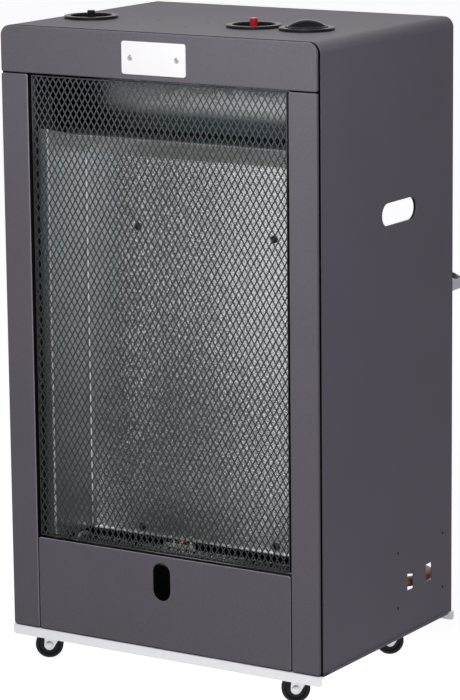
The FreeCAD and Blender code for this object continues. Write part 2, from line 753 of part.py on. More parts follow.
def caster_axle():
    """A riveted axle with a domed head outside each leg."""
    half = WHEEL_WIDTH / 2 + WHEEL_SIDE_GAP + FORK_SHEET
    head = AXLE_HEAD / 2
    rise = AXLE_HEAD_HEIGHT
    dome = [(head, half), (head, half + 0.35 * rise), (0.8 * head, half + 0.75 * rise),
            (0.42 * head, half + rise)]
    shank = [(AXLE_DIAMETER / 2, -half), (AXLE_DIAMETER / 2, half)]
    far = [(radius, -along) for radius, along in reversed(dome)]
    profile = [(0, -half - rise)] + far + shank + dome + [(0, half + rise)]
    return turned(profile, V(CASTER_TRAIL, 0, WHEEL_DIAMETER / 2), BACK)


def caster_wheel():
    """A wheel with a raised hub, a dished web and a rounded tread."""
    radius = WHEEL_DIAMETER / 2
    half = WHEEL_WIDTH / 2
    bore = AXLE_DIAMETER / 2 + WHEEL_FIT
    hub = WHEEL_HUB / 2
    inner = radius - WHEEL_TYRE
    dish = half - WHEEL_DISH
    slope = WHEEL_WEB_SLOPE
    side = [(half, bore), (half, hub), (dish, hub + slope), (dish, inner - slope), (half, inner),
            (half, radius)]
    corners = side + [(-across, r) for across, r in reversed(side)]
    rounds = [0, 0, 0, 0, 0, WHEEL_ROUND]
    profile = wire(corners, rounds + rounds[::-1], lambda u, v: V(CASTER_TRAIL, u, radius + v))
    return Part.Face(profile).revolve(V(CASTER_TRAIL, 0, radius), BACK, 360)


def caster_stem():
    """The fixed stem: a plate and race under the tray, riveted over inside it."""
    crown = WHEEL_DIAMETER + WHEEL_TOP_GAP
    shank = STEM_DIAMETER / 2
    race = crown + FORK_SHEET + SWIVEL_GAP
    under_plate = CASTER_HEIGHT - STEM_PLATE_HEIGHT
    head_top = crown - SWIVEL_GAP
    profile = [(0, head_top - STEM_HEAD_HEIGHT), (STEM_HEAD / 2, head_top - STEM_HEAD_HEIGHT),
               (STEM_HEAD / 2, head_top), (shank, head_top), (shank, race), (STEM_RACE / 2, race),
               (STEM_RACE / 2, race + STEM_RACE_HEIGHT), (STEM_NECK / 2, under_plate),
               (STEM_PLATE / 2, under_plate), (STEM_PLATE / 2, CASTER_HEIGHT), (shank, CASTER_HEIGHT),
               (shank, TRAY_TOP), (STEM_HEAD / 2, TRAY_TOP), (shank, TRAY_TOP + STEM_HEAD_HEIGHT),
               (0, TRAY_TOP + STEM_HEAD_HEIGHT)]
    return turned(profile, V(0, 0, 0), UP)


def set_caster(piece, place):
    """Turns a caster piece to its rest direction and moves it to its swivel axis."""
    piece.rotate(V(0, 0, 0), UP, CASTER_TURN)
    piece.translate(V(place[0], FRONT_Y + place[1], 0))
    return piece


def bezel(x, hole):
    """A rounded ring on the deck with a cup below it, pierced at its floor."""
    outer = BEZEL_DIAMETER / 2
    bore = BEZEL_BORE / 2
    cup = bore + CUP_WALL
    deck = CASING_HEIGHT
    top = deck + BEZEL_RISE
    corners = [(outer, deck), (outer, top), (bore, top), (bore, CUP_TOP), (hole / 2, CUP_TOP),
               (hole / 2, CUP_UNDER), (cup, CUP_UNDER), (cup, deck)]
    radii = [0, BEZEL_ROUND, BEZEL_ROUND, 0, 0, 0, 0, 0]
    section = wire(corners, radii, lambda u, v: at(x + u, CONTROL_DEPTH, v))
    return Part.Face(section).revolve(at(x, CONTROL_DEPTH, 0), UP, 360)


def control_knob():
    """Round skirt with an arched grip bar across it and a step at one end of the bar."""
    foot = at(CONTROL_X, CONTROL_DEPTH, 0)
    radius = KNOB_DIAMETER / 2
    skirt_top = CASING_HEIGHT + KNOB_SKIRT_RISE
    top = CASING_HEIGHT + KNOB_RISE
    skirt = Part.makeCylinder(radius, skirt_top - KNOB_BASE, foot + UP * KNOB_BASE)
    rim = [e for e in skirt.Edges if abs(e.BoundBox.ZMin - TRAY_TOP - skirt_top) < 1e-6]
    skirt = skirt.makeFillet(KNOB_ROUND, rim)
    half = KNOB_GRIP_LENGTH / 2
    across = KNOB_GRIP_WIDTH / 2
    low = (skirt_top + KNOB_BASE) / 2
    start = foot - BACK * across
    ends = [start + RIGHT * side * half + UP * skirt_top for side in (-1, 1)]
    feet = [start + RIGHT * side * half + UP * low for side in (-1, 1)]
    edges = [Part.Arc(ends[0], start + UP * top, ends[1]).toShape(),
             Part.LineSegment(ends[1], feet[1]).toShape(),
             Part.LineSegment(feet[1], feet[0]).toShape(),
             Part.LineSegment(feet[0], ends[0]).toShape()]
    grip = Part.Face(Part.Wire(edges)).extrude(BACK * KNOB_GRIP_WIDTH)
    crest = [e for e in grip.Edges if e.Curve.TypeId == "Part::GeomCircle"]
    grip = grip.makeFillet(KNOB_ROUND, crest)
    step_foot = skirt_top + (top - skirt_top) * 0.2
    step = Part.makeBox(KNOB_STEP_LENGTH, KNOB_GRIP_WIDTH, top, start + RIGHT * (half - KNOB_STEP_LENGTH)
                        + UP * step_foot)
    knob = fused(skirt, [grip.cut(step)])
    socket = Part.makeCylinder(SPINDLE_DIAMETER / 2, KNOB_SOCKET, foot + UP * KNOB_BASE)
    knob = knob.cut(socket)
    knob.rotate(foot, UP, KNOB_TURN)
    return knob


def spindle_axis(low, high):
    """Two points on the spindle's axis."""
    return at(CONTROL_X, CONTROL_DEPTH, low), at(CONTROL_X, CONTROL_DEPTH, high)


def valve_spindle():
    """The shaft from the valve up into the knob."""
    return rod(*spindle_axis(SPIGOT_TOP - SPINDLE_ENGAGE, KNOB_BASE + KNOB_SOCKET), SPINDLE_DIAMETER)


def spindle_collar():
    """The thrust collar that the return spring in the valve carries."""
    low = SPIGOT_TOP + PUSH_TRAVEL + PUSH_CLEARANCE
    collar = rod(*spindle_axis(low, low + COLLAR_HEIGHT), COLLAR_DIAMETER)
    return collar.cut(rod(*spindle_axis(low, low + COLLAR_HEIGHT), SPINDLE_DIAMETER + 2 * SPINDLE_FIT))


def valve_body():
    """Valve block with a spigot that guides the spindle."""
    half = VALVE_WIDTH / 2
    front = CONTROL_DEPTH - VALVE_DEPTH / 2
    corners = rectangle(CONTROL_X - half, CONTROL_X + half, front, VALVE_REAR)
    body = plate(corners, [KNOB_ROUND] * 4, facing_up(VALVE_TOP - VALVE_HEIGHT), UP * VALVE_HEIGHT)
    body = fused(body, [rod(*spindle_axis(VALVE_TOP, SPIGOT_TOP), VALVE_SPIGOT)])
    bottom = SPIGOT_TOP - SPINDLE_ENGAGE - PUSH_TRAVEL - PUSH_CLEARANCE
    return body.cut(rod(*spindle_axis(bottom, SPIGOT_TOP), SPINDLE_DIAMETER + 2 * SPINDLE_FIT))


def valve_bracket():
    """Strap under the cup that holds the valve between two legs."""
    half = VALVE_WIDTH / 2
    outer = half + BRACKET_SHEET
    front = CONTROL_DEPTH - BRACKET_DEPTH / 2
    low = CUP_UNDER - BRACKET_LEG
    corners = [(-outer, low), (-half, low), (-half, CUP_UNDER - BRACKET_SHEET),
               (half, CUP_UNDER - BRACKET_SHEET), (half, low), (outer, low), (outer, CUP_UNDER),
               (-outer, CUP_UNDER)]
    radii = [0, 0, 0, 0, 0, 0, BRACKET_SHEET, BRACKET_SHEET]
    strap = plate(corners, radii, lambda u, v: at(CONTROL_X + u, front, v), BACK * BRACKET_DEPTH)
    return strap.cut(rod(*spindle_axis(CUP_UNDER - BRACKET_SHEET, CUP_UNDER), BRACKET_HOLE))


def push_button(x, rise, travel):
    """A round button that slides in its guide."""
    foot = CUP_UNDER - GUIDE_FLANGE_HEIGHT + travel
    radius = BUTTON_DIAMETER / 2
    top = CASING_HEIGHT + rise
    profile = wire([(0, foot), (radius, foot), (radius, top), (0, top)], [0, 0, BUTTON_ROUND, 0],
                   lambda u, v: at(x + u, CONTROL_DEPTH, v))
    return Part.Face(profile).revolve(at(x, CONTROL_DEPTH, 0), UP, 360)


def button_guide(x, length):
    """A guide with a neck up through the cup, a flange under it and a barrel below."""
    bore = BUTTON_DIAMETER / 2 + BUTTON_FIT
    bottom = CUP_UNDER - GUIDE_FLANGE_HEIGHT - PUSH_CLEARANCE
    flange = CUP_UNDER - GUIDE_FLANGE_HEIGHT
    top = CUP_TOP + GUIDE_RISE
    profile = [(0, CUP_UNDER - length), (GUIDE_BARREL / 2, CUP_UNDER - length), (GUIDE_BARREL / 2, flange),
               (GUIDE_FLANGE / 2, flange), (GUIDE_FLANGE / 2, CUP_UNDER), (GUIDE_NECK / 2, CUP_UNDER),
               (GUIDE_NECK / 2, top), (bore, top), (bore, bottom), (0, bottom)]
    return turned(profile, at(x, CONTROL_DEPTH, 0), UP)


def inlet_elbow():
    """Brass elbow from the valve, down to the hose."""
    x, depth, end = hose_route()[0]
    level = VALVE_TOP - VALVE_HEIGHT / 2
    corner = at(x, depth, level)
    elbow = rod(at(x, VALVE_REAR, level), corner, INLET_DIAMETER)
    ball = Part.makeSphere(INLET_DIAMETER / 2, corner)
    drop = rod(at(x, depth, end), corner, INLET_DIAMETER)
    collar = rod(at(x, depth, end), at(x, depth, end + INLET_COLLAR_HEIGHT), INLET_COLLAR)
    return fused(elbow, [ball, drop, collar])


def partition_panel():
    """Wall between the chamber and the bottle bay, folded at its sides and its foot."""
    front = PARTITION_DEPTH
    rear = PARTITION_REAR
    panel = block(-INNER_HALF, INNER_HALF, front, rear, 0, PARTITION_TOP)
    folds = [block(-INNER_HALF, INNER_HALF, front - PARTITION_FOOT, front, 0, SHEET)]
    for side in (-1, 1):
        x0, x1 = sorted((side * INNER_HALF, side * (INNER_HALF - SHEET)))
        folds.append(block(x0, x1, rear, rear + PARTITION_FLANGE, 0, PARTITION_TOP))
    holes = []
    for route, diameter in ((gas_route(), GAS_PIPE), (pilot_route(), PILOT_PIPE),
                            (probe_route(), PROBE_LEAD), (spark_route(), SPARK_LEAD)):
        x, level = crossing(route)
        holes.append(rod(at(x, front, level), at(x, rear, level), diameter + 2 * HOLE_ROOM))
    for x, level in screw_places():
        holes.append(rod(at(x, front, level), at(x, rear, level), SCREW_DIAMETER))
    return fused(panel, folds).cut(holes)


def crossing(route):
    """Where a route passes through the partition, as across and height."""
    for start, end in zip(route, route[1:]):
        low, high = sorted((start[1], end[1]))
        if low < PARTITION_DEPTH < high and max(start[2], end[2]) < PARTITION_TOP:
            return start[0], start[2]


def screw_places():
    """The reflector's four screws, as across and height."""
    levels = CHAMBER_BOTTOM + SCREW_FROM_BOTTOM, CHAMBER_TOP - SCREW_FROM_TOP
    return [(x, z) for x in (-SCREW_SPACING / 2, SCREW_SPACING / 2) for z in levels]


def reflector_back():
    """Back of the chamber, with a lip folded forward at its foot."""
    back = CHAMBER_BACK
    low = CHAMBER_BOTTOM
    panel = block(-CHAMBER_HALF, CHAMBER_HALF, back, back + SHEET, low, CHAMBER_TOP)
    half = CHAMBER_HALF - REFLECTOR_LAP - HOOD_SIDE_GAP
    lip = block(-half, half, back - REFLECTOR_LIP, back, low, low + SHEET)
    holes = [rod(at(x, back, z), at(x, back + SHEET, z), SCREW_DIAMETER) for x, z in screw_places()]
    return fused(panel, [lip]).cut(holes)


def reflector_side(side):
    """Side of the chamber: a wall turned out in front, lapped over the back and sloped on top."""
    wall = side * CHAMBER_HALF
    outer = wall + side * SHEET
    flange = wall + side * REFLECTOR_FLANGE
    lap = wall - side * REFLECTOR_LAP
    front = CHAMBER_FRONT
    back = CHAMBER_BACK
    corners = [(flange, front), (wall, front), (wall, back - SHEET), (lap, back - SHEET), (lap, back),
               (outer, back), (outer, front + SHEET), (flange, front + SHEET)]
    bend = REFLECTOR_BEND
    radii = [0, bend, bend - SHEET, 0, 0, bend, bend - SHEET, 0]
    front_top = CHAMBER_TOP + HOOD_RUN + SIDE_RISE
    body = plate(corners, radii, facing_up(CHAMBER_BOTTOM), UP * (front_top - CHAMBER_BOTTOM))
    slope = SIDE_RISE / (CHAMBER_BACK - HOOD_RUN - CHAMBER_FRONT)
    rear_top = front_top - slope * (back - front)
    wedge = plate([(front, front_top), (back, rear_top), (back, front_top)], [0] * 3,
                  facing_side(lap), RIGHT * side * (REFLECTOR_LAP + REFLECTOR_FLANGE))
    x0, x1 = sorted((lap, wall))
    over_lap = block(x0, x1, back - REFLECTOR_BEND, back, CHAMBER_TOP - SHEET, front_top)
    return body.cut([wedge, over_lap])


def reflector_hood():
    """Hood that leans forward over the chamber, lapped behind the back panel."""
    back = CHAMBER_BACK
    rise = SHEET * math.sqrt(2)
    front = back - HOOD_RUN
    lap = back + 2 * SHEET
    edge = rise / 2
    corners = [(lap, CHAMBER_TOP - HOOD_LAP), (back + SHEET, CHAMBER_TOP - HOOD_LAP),
               (back + SHEET, CHAMBER_TOP), (back, CHAMBER_TOP), (front, CHAMBER_TOP + HOOD_RUN),
               (front + edge, CHAMBER_TOP + HOOD_RUN + edge), (lap, CHAMBER_TOP - 2 * SHEET + rise)]
    half = CHAMBER_HALF - HOOD_SIDE_GAP
    return plate(corners, [0] * len(corners), facing_side(-half), RIGHT * 2 * half)


def reflector_screws():
    """Four screws through the reflector and its spacers into the partition."""
    length = PARTITION_REAR - CHAMBER_BACK
    shank = SCREW_DIAMETER / 2
    head = SCREW_HEAD / 2
    profile = [(0, 0), (shank, 0), (shank, length), (head, length), (head, length + 0.4 * SCREW_HEAD_HEIGHT),
               (0.7 * head, length + 0.9 * SCREW_HEAD_HEIGHT), (0.3 * head, length + SCREW_HEAD_HEIGHT),
               (0, length + SCREW_HEAD_HEIGHT)]
    return [turned(profile, at(x, PARTITION_REAR, z), -BACK) for x, z in screw_places()]


def reflector_standoffs():
    """Four spacers between the reflector and the partition."""
    spacers = []
    for x, z in screw_places():
        ends = at(x, CHAMBER_BACK + SHEET, z), at(x, PARTITION_DEPTH, z)
        lap = CHAMBER_TOP - HOOD_LAP - z - STANDOFF_DIAMETER / 2
        if lap < 0:
            ends = at(x, CHAMBER_BACK + 2 * SHEET, z), ends[1]
        spacers.append(rod(*ends, STANDOFF_DIAMETER).cut(rod(*ends, SCREW_DIAMETER + 2 * SCREW_FIT)))
    return spacers


def hot_air_deflector():
    """Curved sheet on a shelf, which turns the hot air out through the top of the guard."""
    face = DEFLECTOR_DEPTH
    shelf = CASING_HEIGHT - DEFLECTOR_DROP
    lap = shelf + DEFLECTOR_LAP
    slope = math.radians(DEFLECTOR_SLOPE)
    half_turn = math.pi / 4 - slope / 2
    corner = shelf + DEFLECTOR_BEND + DEFLECTOR_RADIUS * math.tan(half_turn)
    front = DEFLECTOR_FRONT
    front_top = corner + (face - front) * math.tan(slope)
    rear = PARTITION_DEPTH
    corners = [(face, shelf), (rear, shelf), (rear, lap), (rear - SHEET, lap), (rear - SHEET, shelf + SHEET),
               (face + SHEET, shelf + SHEET), (face + SHEET, corner + SHEET * math.tan(half_turn)),
               (front, front_top + SHEET / math.cos(slope)), (front, front_top), (face, corner)]
    bend = DEFLECTOR_BEND
    inner = bend - SHEET
    radii = [bend, bend, 0, 0, inner, inner, DEFLECTOR_RADIUS + SHEET, 0, 0, DEFLECTOR_RADIUS]
    half = INNER_HALF - PANEL_GAP
    return plate(corners, radii, facing_side(-half), RIGHT * 2 * half)


def burner_line(x0, x1):
    """Two points on the burner's axis."""
    return at(x0, BURNER_DEPTH, BURNER_LEVEL), at(x1, BURNER_DEPTH, BURNER_LEVEL)


def burner_tube():
    """Closed tube with a row of flame ports along its top."""
    body = rod(*burner_line(-BURNER_HALF, BURNER_HALF), BURNER_DIAMETER)
    inner = BURNER_HALF - BURNER_WALL
    body = body.cut(rod(*burner_line(-inner, inner), BURNER_DIAMETER - 2 * BURNER_WALL))
    ports = []
    last = BURNER_HALF - PORT_FROM_END
    for i in range(PORT_COUNT):
        x = last * (2 * i / (PORT_COUNT - 1) - 1)
        ports.append(block(x - PORT_WIDTH / 2, x + PORT_WIDTH / 2, BURNER_DEPTH - PORT_LENGTH / 2,
                           BURNER_DEPTH + PORT_LENGTH / 2, BURNER_LEVEL, BURNER_LEVEL + BURNER_DIAMETER))
    return body.cut(ports)


def burner_bracket(side):
    """Upright plate on the tray that carries one end of the burner."""
    x = side * (BURNER_HALF - HOLDER_FROM_END)
    half = HOLDER_WIDTH / 2
    top = BURNER_LEVEL + BURNER_DIAMETER / 2 + HOLDER_RIM
    corners = rectangle(BURNER_DEPTH - half, BURNER_DEPTH + half, 0, top)
    shoulder = half - HOLDER_RIM / 2
    upright = plate(corners, [0, 0, shoulder, shoulder], facing_side(x), RIGHT * -side * HOLDER_SHEET)
    x0, x1 = sorted((x - side * HOLDER_SHEET, x - side * (HOLDER_SHEET + HOLDER_FOOT)))
    foot = block(x0, x1, BURNER_DEPTH - half, BURNER_DEPTH + half, 0, HOLDER_SHEET)
    seat = rod(*burner_line(-BURNER_HALF, BURNER_HALF), BURNER_DIAMETER + 2 * HOLDER_FIT)
    return fused(upright, [foot]).cut(seat)


def hexagon(across_flats, place):
    """A hexagonal wire about the middle of place."""
    radius = across_flats / math.sqrt(3)
    corners = [(radius * math.cos(math.radians(60 * i)), radius * math.sin(math.radians(60 * i)))
               for i in range(6)]
    return wire(corners, [0] * 6, place)


def injector():
    """Brass injector on the end of the burner, with the pipe's nut."""
    shank_end = BURNER_HALF + INJECTOR_SHANK_LENGTH
    shank = rod(*burner_line(BURNER_HALF, shank_end), INJECTOR_SHANK)
    nut = hexagon(INJECTOR_NUT, lambda u, v: at(shank_end, BURNER_DEPTH + u, BURNER_LEVEL + v))
    return fused(shank, [Part.Face(nut).extrude(RIGHT * INJECTOR_NUT_LENGTH)])


def pilot_pieces():
    """Places across of the electrode, the pilot burner and the thermocouple."""
    return PILOT_X - PILOT_SPACING, PILOT_X, PILOT_X + PILOT_SPACING


def pilot_bracket():
    """Angle behind the burner with a tab that holds the pilot group."""
    face = BURNER_DEPTH + BURNER_DIAMETER / 2
    x0 = PILOT_X - PILOT_TAB_WIDTH / 2
    x1 = PILOT_X + PILOT_TAB_WIDTH / 2
    low = PILOT_TAB_LEVEL - PILOT_SHEET
    upright = block(x0, x1, face, face + PILOT_SHEET, low, low + PILOT_PLATE_HEIGHT)
    tab = block(x0, x1, face + PILOT_SHEET, face + PILOT_TAB_DEPTH, low, PILOT_TAB_LEVEL)
    holes = []
    for x, diameter in zip(pilot_pieces(), (ELECTRODE_DIAMETER, PILOT_BODY, PROBE_DIAMETER)):
        ends = at(x, PILOT_DEPTH, low), at(x, PILOT_DEPTH, PILOT_TAB_LEVEL)
        holes.append(rod(*ends, diameter + 2 * PILOT_FIT))
    return fused(upright, [tab]).cut(holes)


def stepped(x, steps):
    """A turned upright piece of the pilot group; steps are diameter, lower and upper level."""
    profile = [(0, steps[0][1])]
    for diameter, low, high in steps:
        profile += [(diameter / 2, low), (diameter / 2, high)]
    profile.append((0, steps[-1][2]))
    return turned(profile, at(x, PILOT_DEPTH, 0), UP)


def pilot_burner():
    """Pilot burner: a body, a shoulder on the tab and a wider head."""
    seat = PILOT_TAB_LEVEL
    neck = seat + PILOT_SHOULDER_HEIGHT
    head = PILOT_TOP - PILOT_HEAD_HEIGHT
    return stepped(PILOT_X, [(PILOT_BODY, PILOT_FOOT, seat), (PILOT_SHOULDER, seat, neck),
                             (PILOT_BODY, neck, head), (PILOT_HEAD, head, PILOT_TOP)])


def thermocouple():
    """Thermocouple probe with its nut on the tab."""
    seat = PILOT_TAB_LEVEL
    neck = seat + PROBE_NUT_HEIGHT
    return stepped(pilot_pieces()[2], [(PROBE_DIAMETER, PILOT_FOOT, seat), (PILOT_SHOULDER, seat, neck),
                                       (PROBE_DIAMETER, neck, PROBE_TOP)])


def spark_electrode():
    """Ceramic electrode with a wire at its tip."""
    seat = PILOT_TAB_LEVEL
    neck = seat + PILOT_SHOULDER_HEIGHT
    return stepped(pilot_pieces()[0], [(ELECTRODE_DIAMETER, PILOT_FOOT, seat), (PILOT_SHOULDER, seat, neck),
                                       (ELECTRODE_DIAMETER, neck, ELECTRODE_TOP),
                                       (SPARK_WIRE, ELECTRODE_TOP, SPARK_WIRE_TOP)])


def gas_route():
    """Main pipe: from the injector, back through the partition and up to the valve."""
    start = BURNER_HALF + INJECTOR_SHANK_LENGTH + INJECTOR_NUT_LENGTH
    valve = CONTROL_X - GAS_OUTLET
    level = VALVE_TOP - VALVE_HEIGHT / 2
    depth = PARTITION_REAR + GAS_PIPE_DEPTH
    jog = level - GAS_PIPE_STRAIGHT
    return [(start, BURNER_DEPTH, BURNER_LEVEL), (GAS_PIPE_X, BURNER_DEPTH, BURNER_LEVEL),
            (GAS_PIPE_X, depth, BURNER_LEVEL), (GAS_PIPE_X, depth, jog - GAS_PIPE_JOG),
            (valve, depth, jog), (valve, depth, level), (valve, VALVE_REAR, level)]


def low_route(x, turn_x, turn_level, rise_depth, valve_x, valve_level):
    """A small pipe or lead from under the pilot, back through the partition and up to the valve."""
    inside = PARTITION_DEPTH - LEAD_CLEARANCE
    jog = valve_level - LEAD_STRAIGHT
    return [(x, PILOT_DEPTH, PILOT_FOOT), (x, PILOT_DEPTH, turn_level), (x, inside, turn_level),
            (turn_x, inside, turn_level), (turn_x, rise_depth, turn_level),
            (turn_x, rise_depth, jog - LEAD_JOG), (valve_x, rise_depth, jog),
            (valve_x, rise_depth, valve_level), (valve_x, VALVE_REAR, valve_level)]


def pilot_route():
    """Pilot pipe."""
    rise = CONTROL_X - PILOT_PIPE_FROM_VALVE
    depth = PARTITION_REAR + PILOT_PIPE_DEPTH
    outlet = CONTROL_X - PILOT_OUTLET
    return low_route(PILOT_X, rise, PILOT_PIPE_LEVEL, depth, outlet, VALVE_TOP - PILOT_OUTLET_DROP)


def probe_route():
    """Thermocouple lead."""
    rise = CONTROL_X - PROBE_LEAD_FROM_VALVE
    depth = PARTITION_REAR + PROBE_LEAD_DEPTH
    outlet = CONTROL_X - PROBE_OUTLET
    return low_route(pilot_pieces()[2], rise, PROBE_LEAD_LEVEL, depth, outlet, VALVE_TOP - PROBE_OUTLET_DROP)


def spark_route():
    """Ignition lead, from the electrode up to the igniter."""
    x = pilot_pieces()[0]
    inside = PARTITION_DEPTH - LEAD_CLEARANCE
    depth = PARTITION_REAR + SPARK_LEAD_DEPTH
    level = CUP_UNDER - IGNITER_LENGTH + SPARK_LEAD_RISE
    low = SPARK_LEAD_LEVEL
    return [(x, PILOT_DEPTH, PILOT_FOOT), (x, PILOT_DEPTH, low), (x, inside, low),
            (IGNITER_X, inside, low), (IGNITER_X, depth, low), (IGNITER_X, depth, level),
            (IGNITER_X, CONTROL_DEPTH + GUIDE_BARREL / 2, level)]


def bottle_bar():
    """Angle bar bent round behind the bay, its flange notched at the bends."""
    outer = CASING_HALF - 2 * SHEET - BAR_SIDE_GAP
    front = CASING_DEPTH - BAR_ARM
    rear = CASING_DEPTH + BAR_REACH
    bend = BAR_CORNER
    inset = BAR_SHEET * math.tan(math.radians(22.5))
    line = [(outer, front), (outer, rear - bend), (outer - bend, rear)]
    inner_x = outer - BAR_SHEET
    inside = [(inner_x, front), (inner_x, rear - bend - inset), (outer - bend - inset, rear - BAR_SHEET)]
    right = line + inside[::-1]
    middle = [(outer - bend, rear), (bend - outer, rear), (bend - outer + inset, rear - BAR_SHEET),
              (outer - bend - inset, rear - BAR_SHEET)]
    low = facing_up(BAR_LEVEL)
    web = [plate(corners, [0] * len(corners), low, UP * BAR_WEB) for corners in
           (right, [(-x, depth) for x, depth in right], middle)]
    top = facing_up(BAR_LEVEL + BAR_WEB - BAR_SHEET)
    notch = rear - bend - BAR_NOTCH
    arm = [(outer, front), (outer, notch - BAR_FLANGE), (inner_x, notch - BAR_FLANGE + BAR_SHEET),
           (outer - BAR_FLANGE, notch), (outer - BAR_FLANGE, front)]
    end = outer - bend - BAR_NOTCH
    short = end - BAR_FLANGE
    cross = [(end, rear), (-end, rear), (-short, rear - BAR_FLANGE), (short, rear - BAR_FLANGE)]
    flanges = [plate(corners, [0] * len(corners), top, UP * BAR_SHEET) for corners in
               (arm, [(-x, depth) for x, depth in arm], cross)]
    return fused(web[0], web[1:] + flanges)


def hose_route():
    """The hose's points, as across, depth and height: an even fall behind the partition, then the loop."""
    top = CASING_HEIGHT - HOSE_TOP_DROP
    step = (top - HOSE_FALL_END) / (len(HOSE_FALL) - 1)
    fall = [(x, depth, top - i * step) for i, (x, depth) in enumerate(HOSE_FALL)]
    return [(CASING_HALF - from_right, depth, height) for from_right, depth, height in fall + HOSE_LOOP]


def hose_points():
    """The hose's route in space."""
    return [at(*point) for point in hose_route()]


def hose_radii(points):
    """The largest arc that each inner point of the route allows."""
    radii = []
    for before, corner, after in zip(points, points[1:], points[2:]):
        run = min((corner - before).Length, (after - corner).Length)
        turn = (corner - before).getAngle(after - corner)
        radii.append(0.45 * run / math.tan(turn / 2))
    return radii


def gas_hose():
    """Rubber hose from the inlet elbow to the regulator."""
    points = hose_points()
    radii = hose_radii(points)
    hose = tube(points, radii, HOSE_DIAMETER)
    length = bent_path(points, radii).Length
    section = math.pi * HOSE_DIAMETER ** 2 / 4
    print("hose length %.1f, volume over section %.1f" % (length, hose.Volume / section))
    print("hose radii", [round(radius) for radius in radii])
    return hose


def hose_ferrules():
    """A crimped ferrule on each end of the hose."""
    points = hose_points()
    rings = []
    for end, inward in ((points[0], points[1]), (points[-1], points[-2])):
        far = end + (inward - end).normalize() * FERRULE_LENGTH
        bore = HOSE_DIAMETER + 2 * FERRULE_FIT
        rings.append(rod(end, far, bore + 2 * FERRULE_WALL).cut(rod(end, far, bore)))
    return rings


def regulator_place():
    """The regulator's middle across, its middle depth and its axis height."""
    x, depth, level = hose_route()[-1]
    return x, depth - REGULATOR_NIPPLE_LENGTH - REGULATOR_DIAMETER / 2, level


def regulator_body():
    """Round regulator that lies on the tray, with a nipple for the hose and a spigot for the nut."""
    x, depth, level = regulator_place()
    radius = REGULATOR_DIAMETER / 2
    rim0 = level - REGULATOR_RIM / 2
    rim1 = level + REGULATOR_RIM / 2
    dome = REGULATOR_DOME / 2
    step = REGULATOR_STEP
    top = REGULATOR_HEIGHT
    profile = [(0, 0), (dome, 0), (radius - step, rim0), (radius, rim0), (radius, rim1),
               (radius - step, rim1), (dome, top - step), (dome - step, top), (0, top)]
    body = turned(profile, at(x, depth, 0), UP)
    end = hose_route()[-1][1]
    nipple = rod(at(x, depth, level), at(x, end, level), REGULATOR_NIPPLE)
    tip = depth - radius - REGULATOR_SPIGOT_LENGTH
    spigot = rod(at(x, tip, level), at(x, depth, level), REGULATOR_SPIGOT)
    seat = rod(at(x, tip, level), at(x, tip + REGULATOR_SEAT_LENGTH, level), REGULATOR_SEAT)
    return fused(body, [nipple, spigot, seat])


def regulator_nut():
    """Union nut that turns on the spigot, behind its seat."""
    x, depth, level = regulator_place()
    tip = depth - REGULATOR_DIAMETER / 2 - REGULATOR_SPIGOT_LENGTH
    relief_end = tip + REGULATOR_SEAT_LENGTH + NUT_END_GAP
    thread_end = tip - NUT_END_GAP
    mouth = thread_end - NUT_THREAD
    outline = hexagon(NUT_ACROSS_FLATS, lambda u, v: at(x + u, mouth, level + v))
    nut = Part.Face(outline).extrude(BACK * (relief_end + NUT_WALL - mouth))
    thread = rod(at(x, mouth, level), at(x, thread_end, level), NUT_BORE)
    relief = rod(at(x, thread_end, level), at(x, relief_end, level), NUT_BORE + 2 * NUT_RELIEF)
    neck = rod(at(x, relief_end, level), at(x, relief_end + NUT_WALL, level), REGULATOR_SPIGOT + 2 * NUT_FIT)
    return nut.cut([thread, relief, neck])


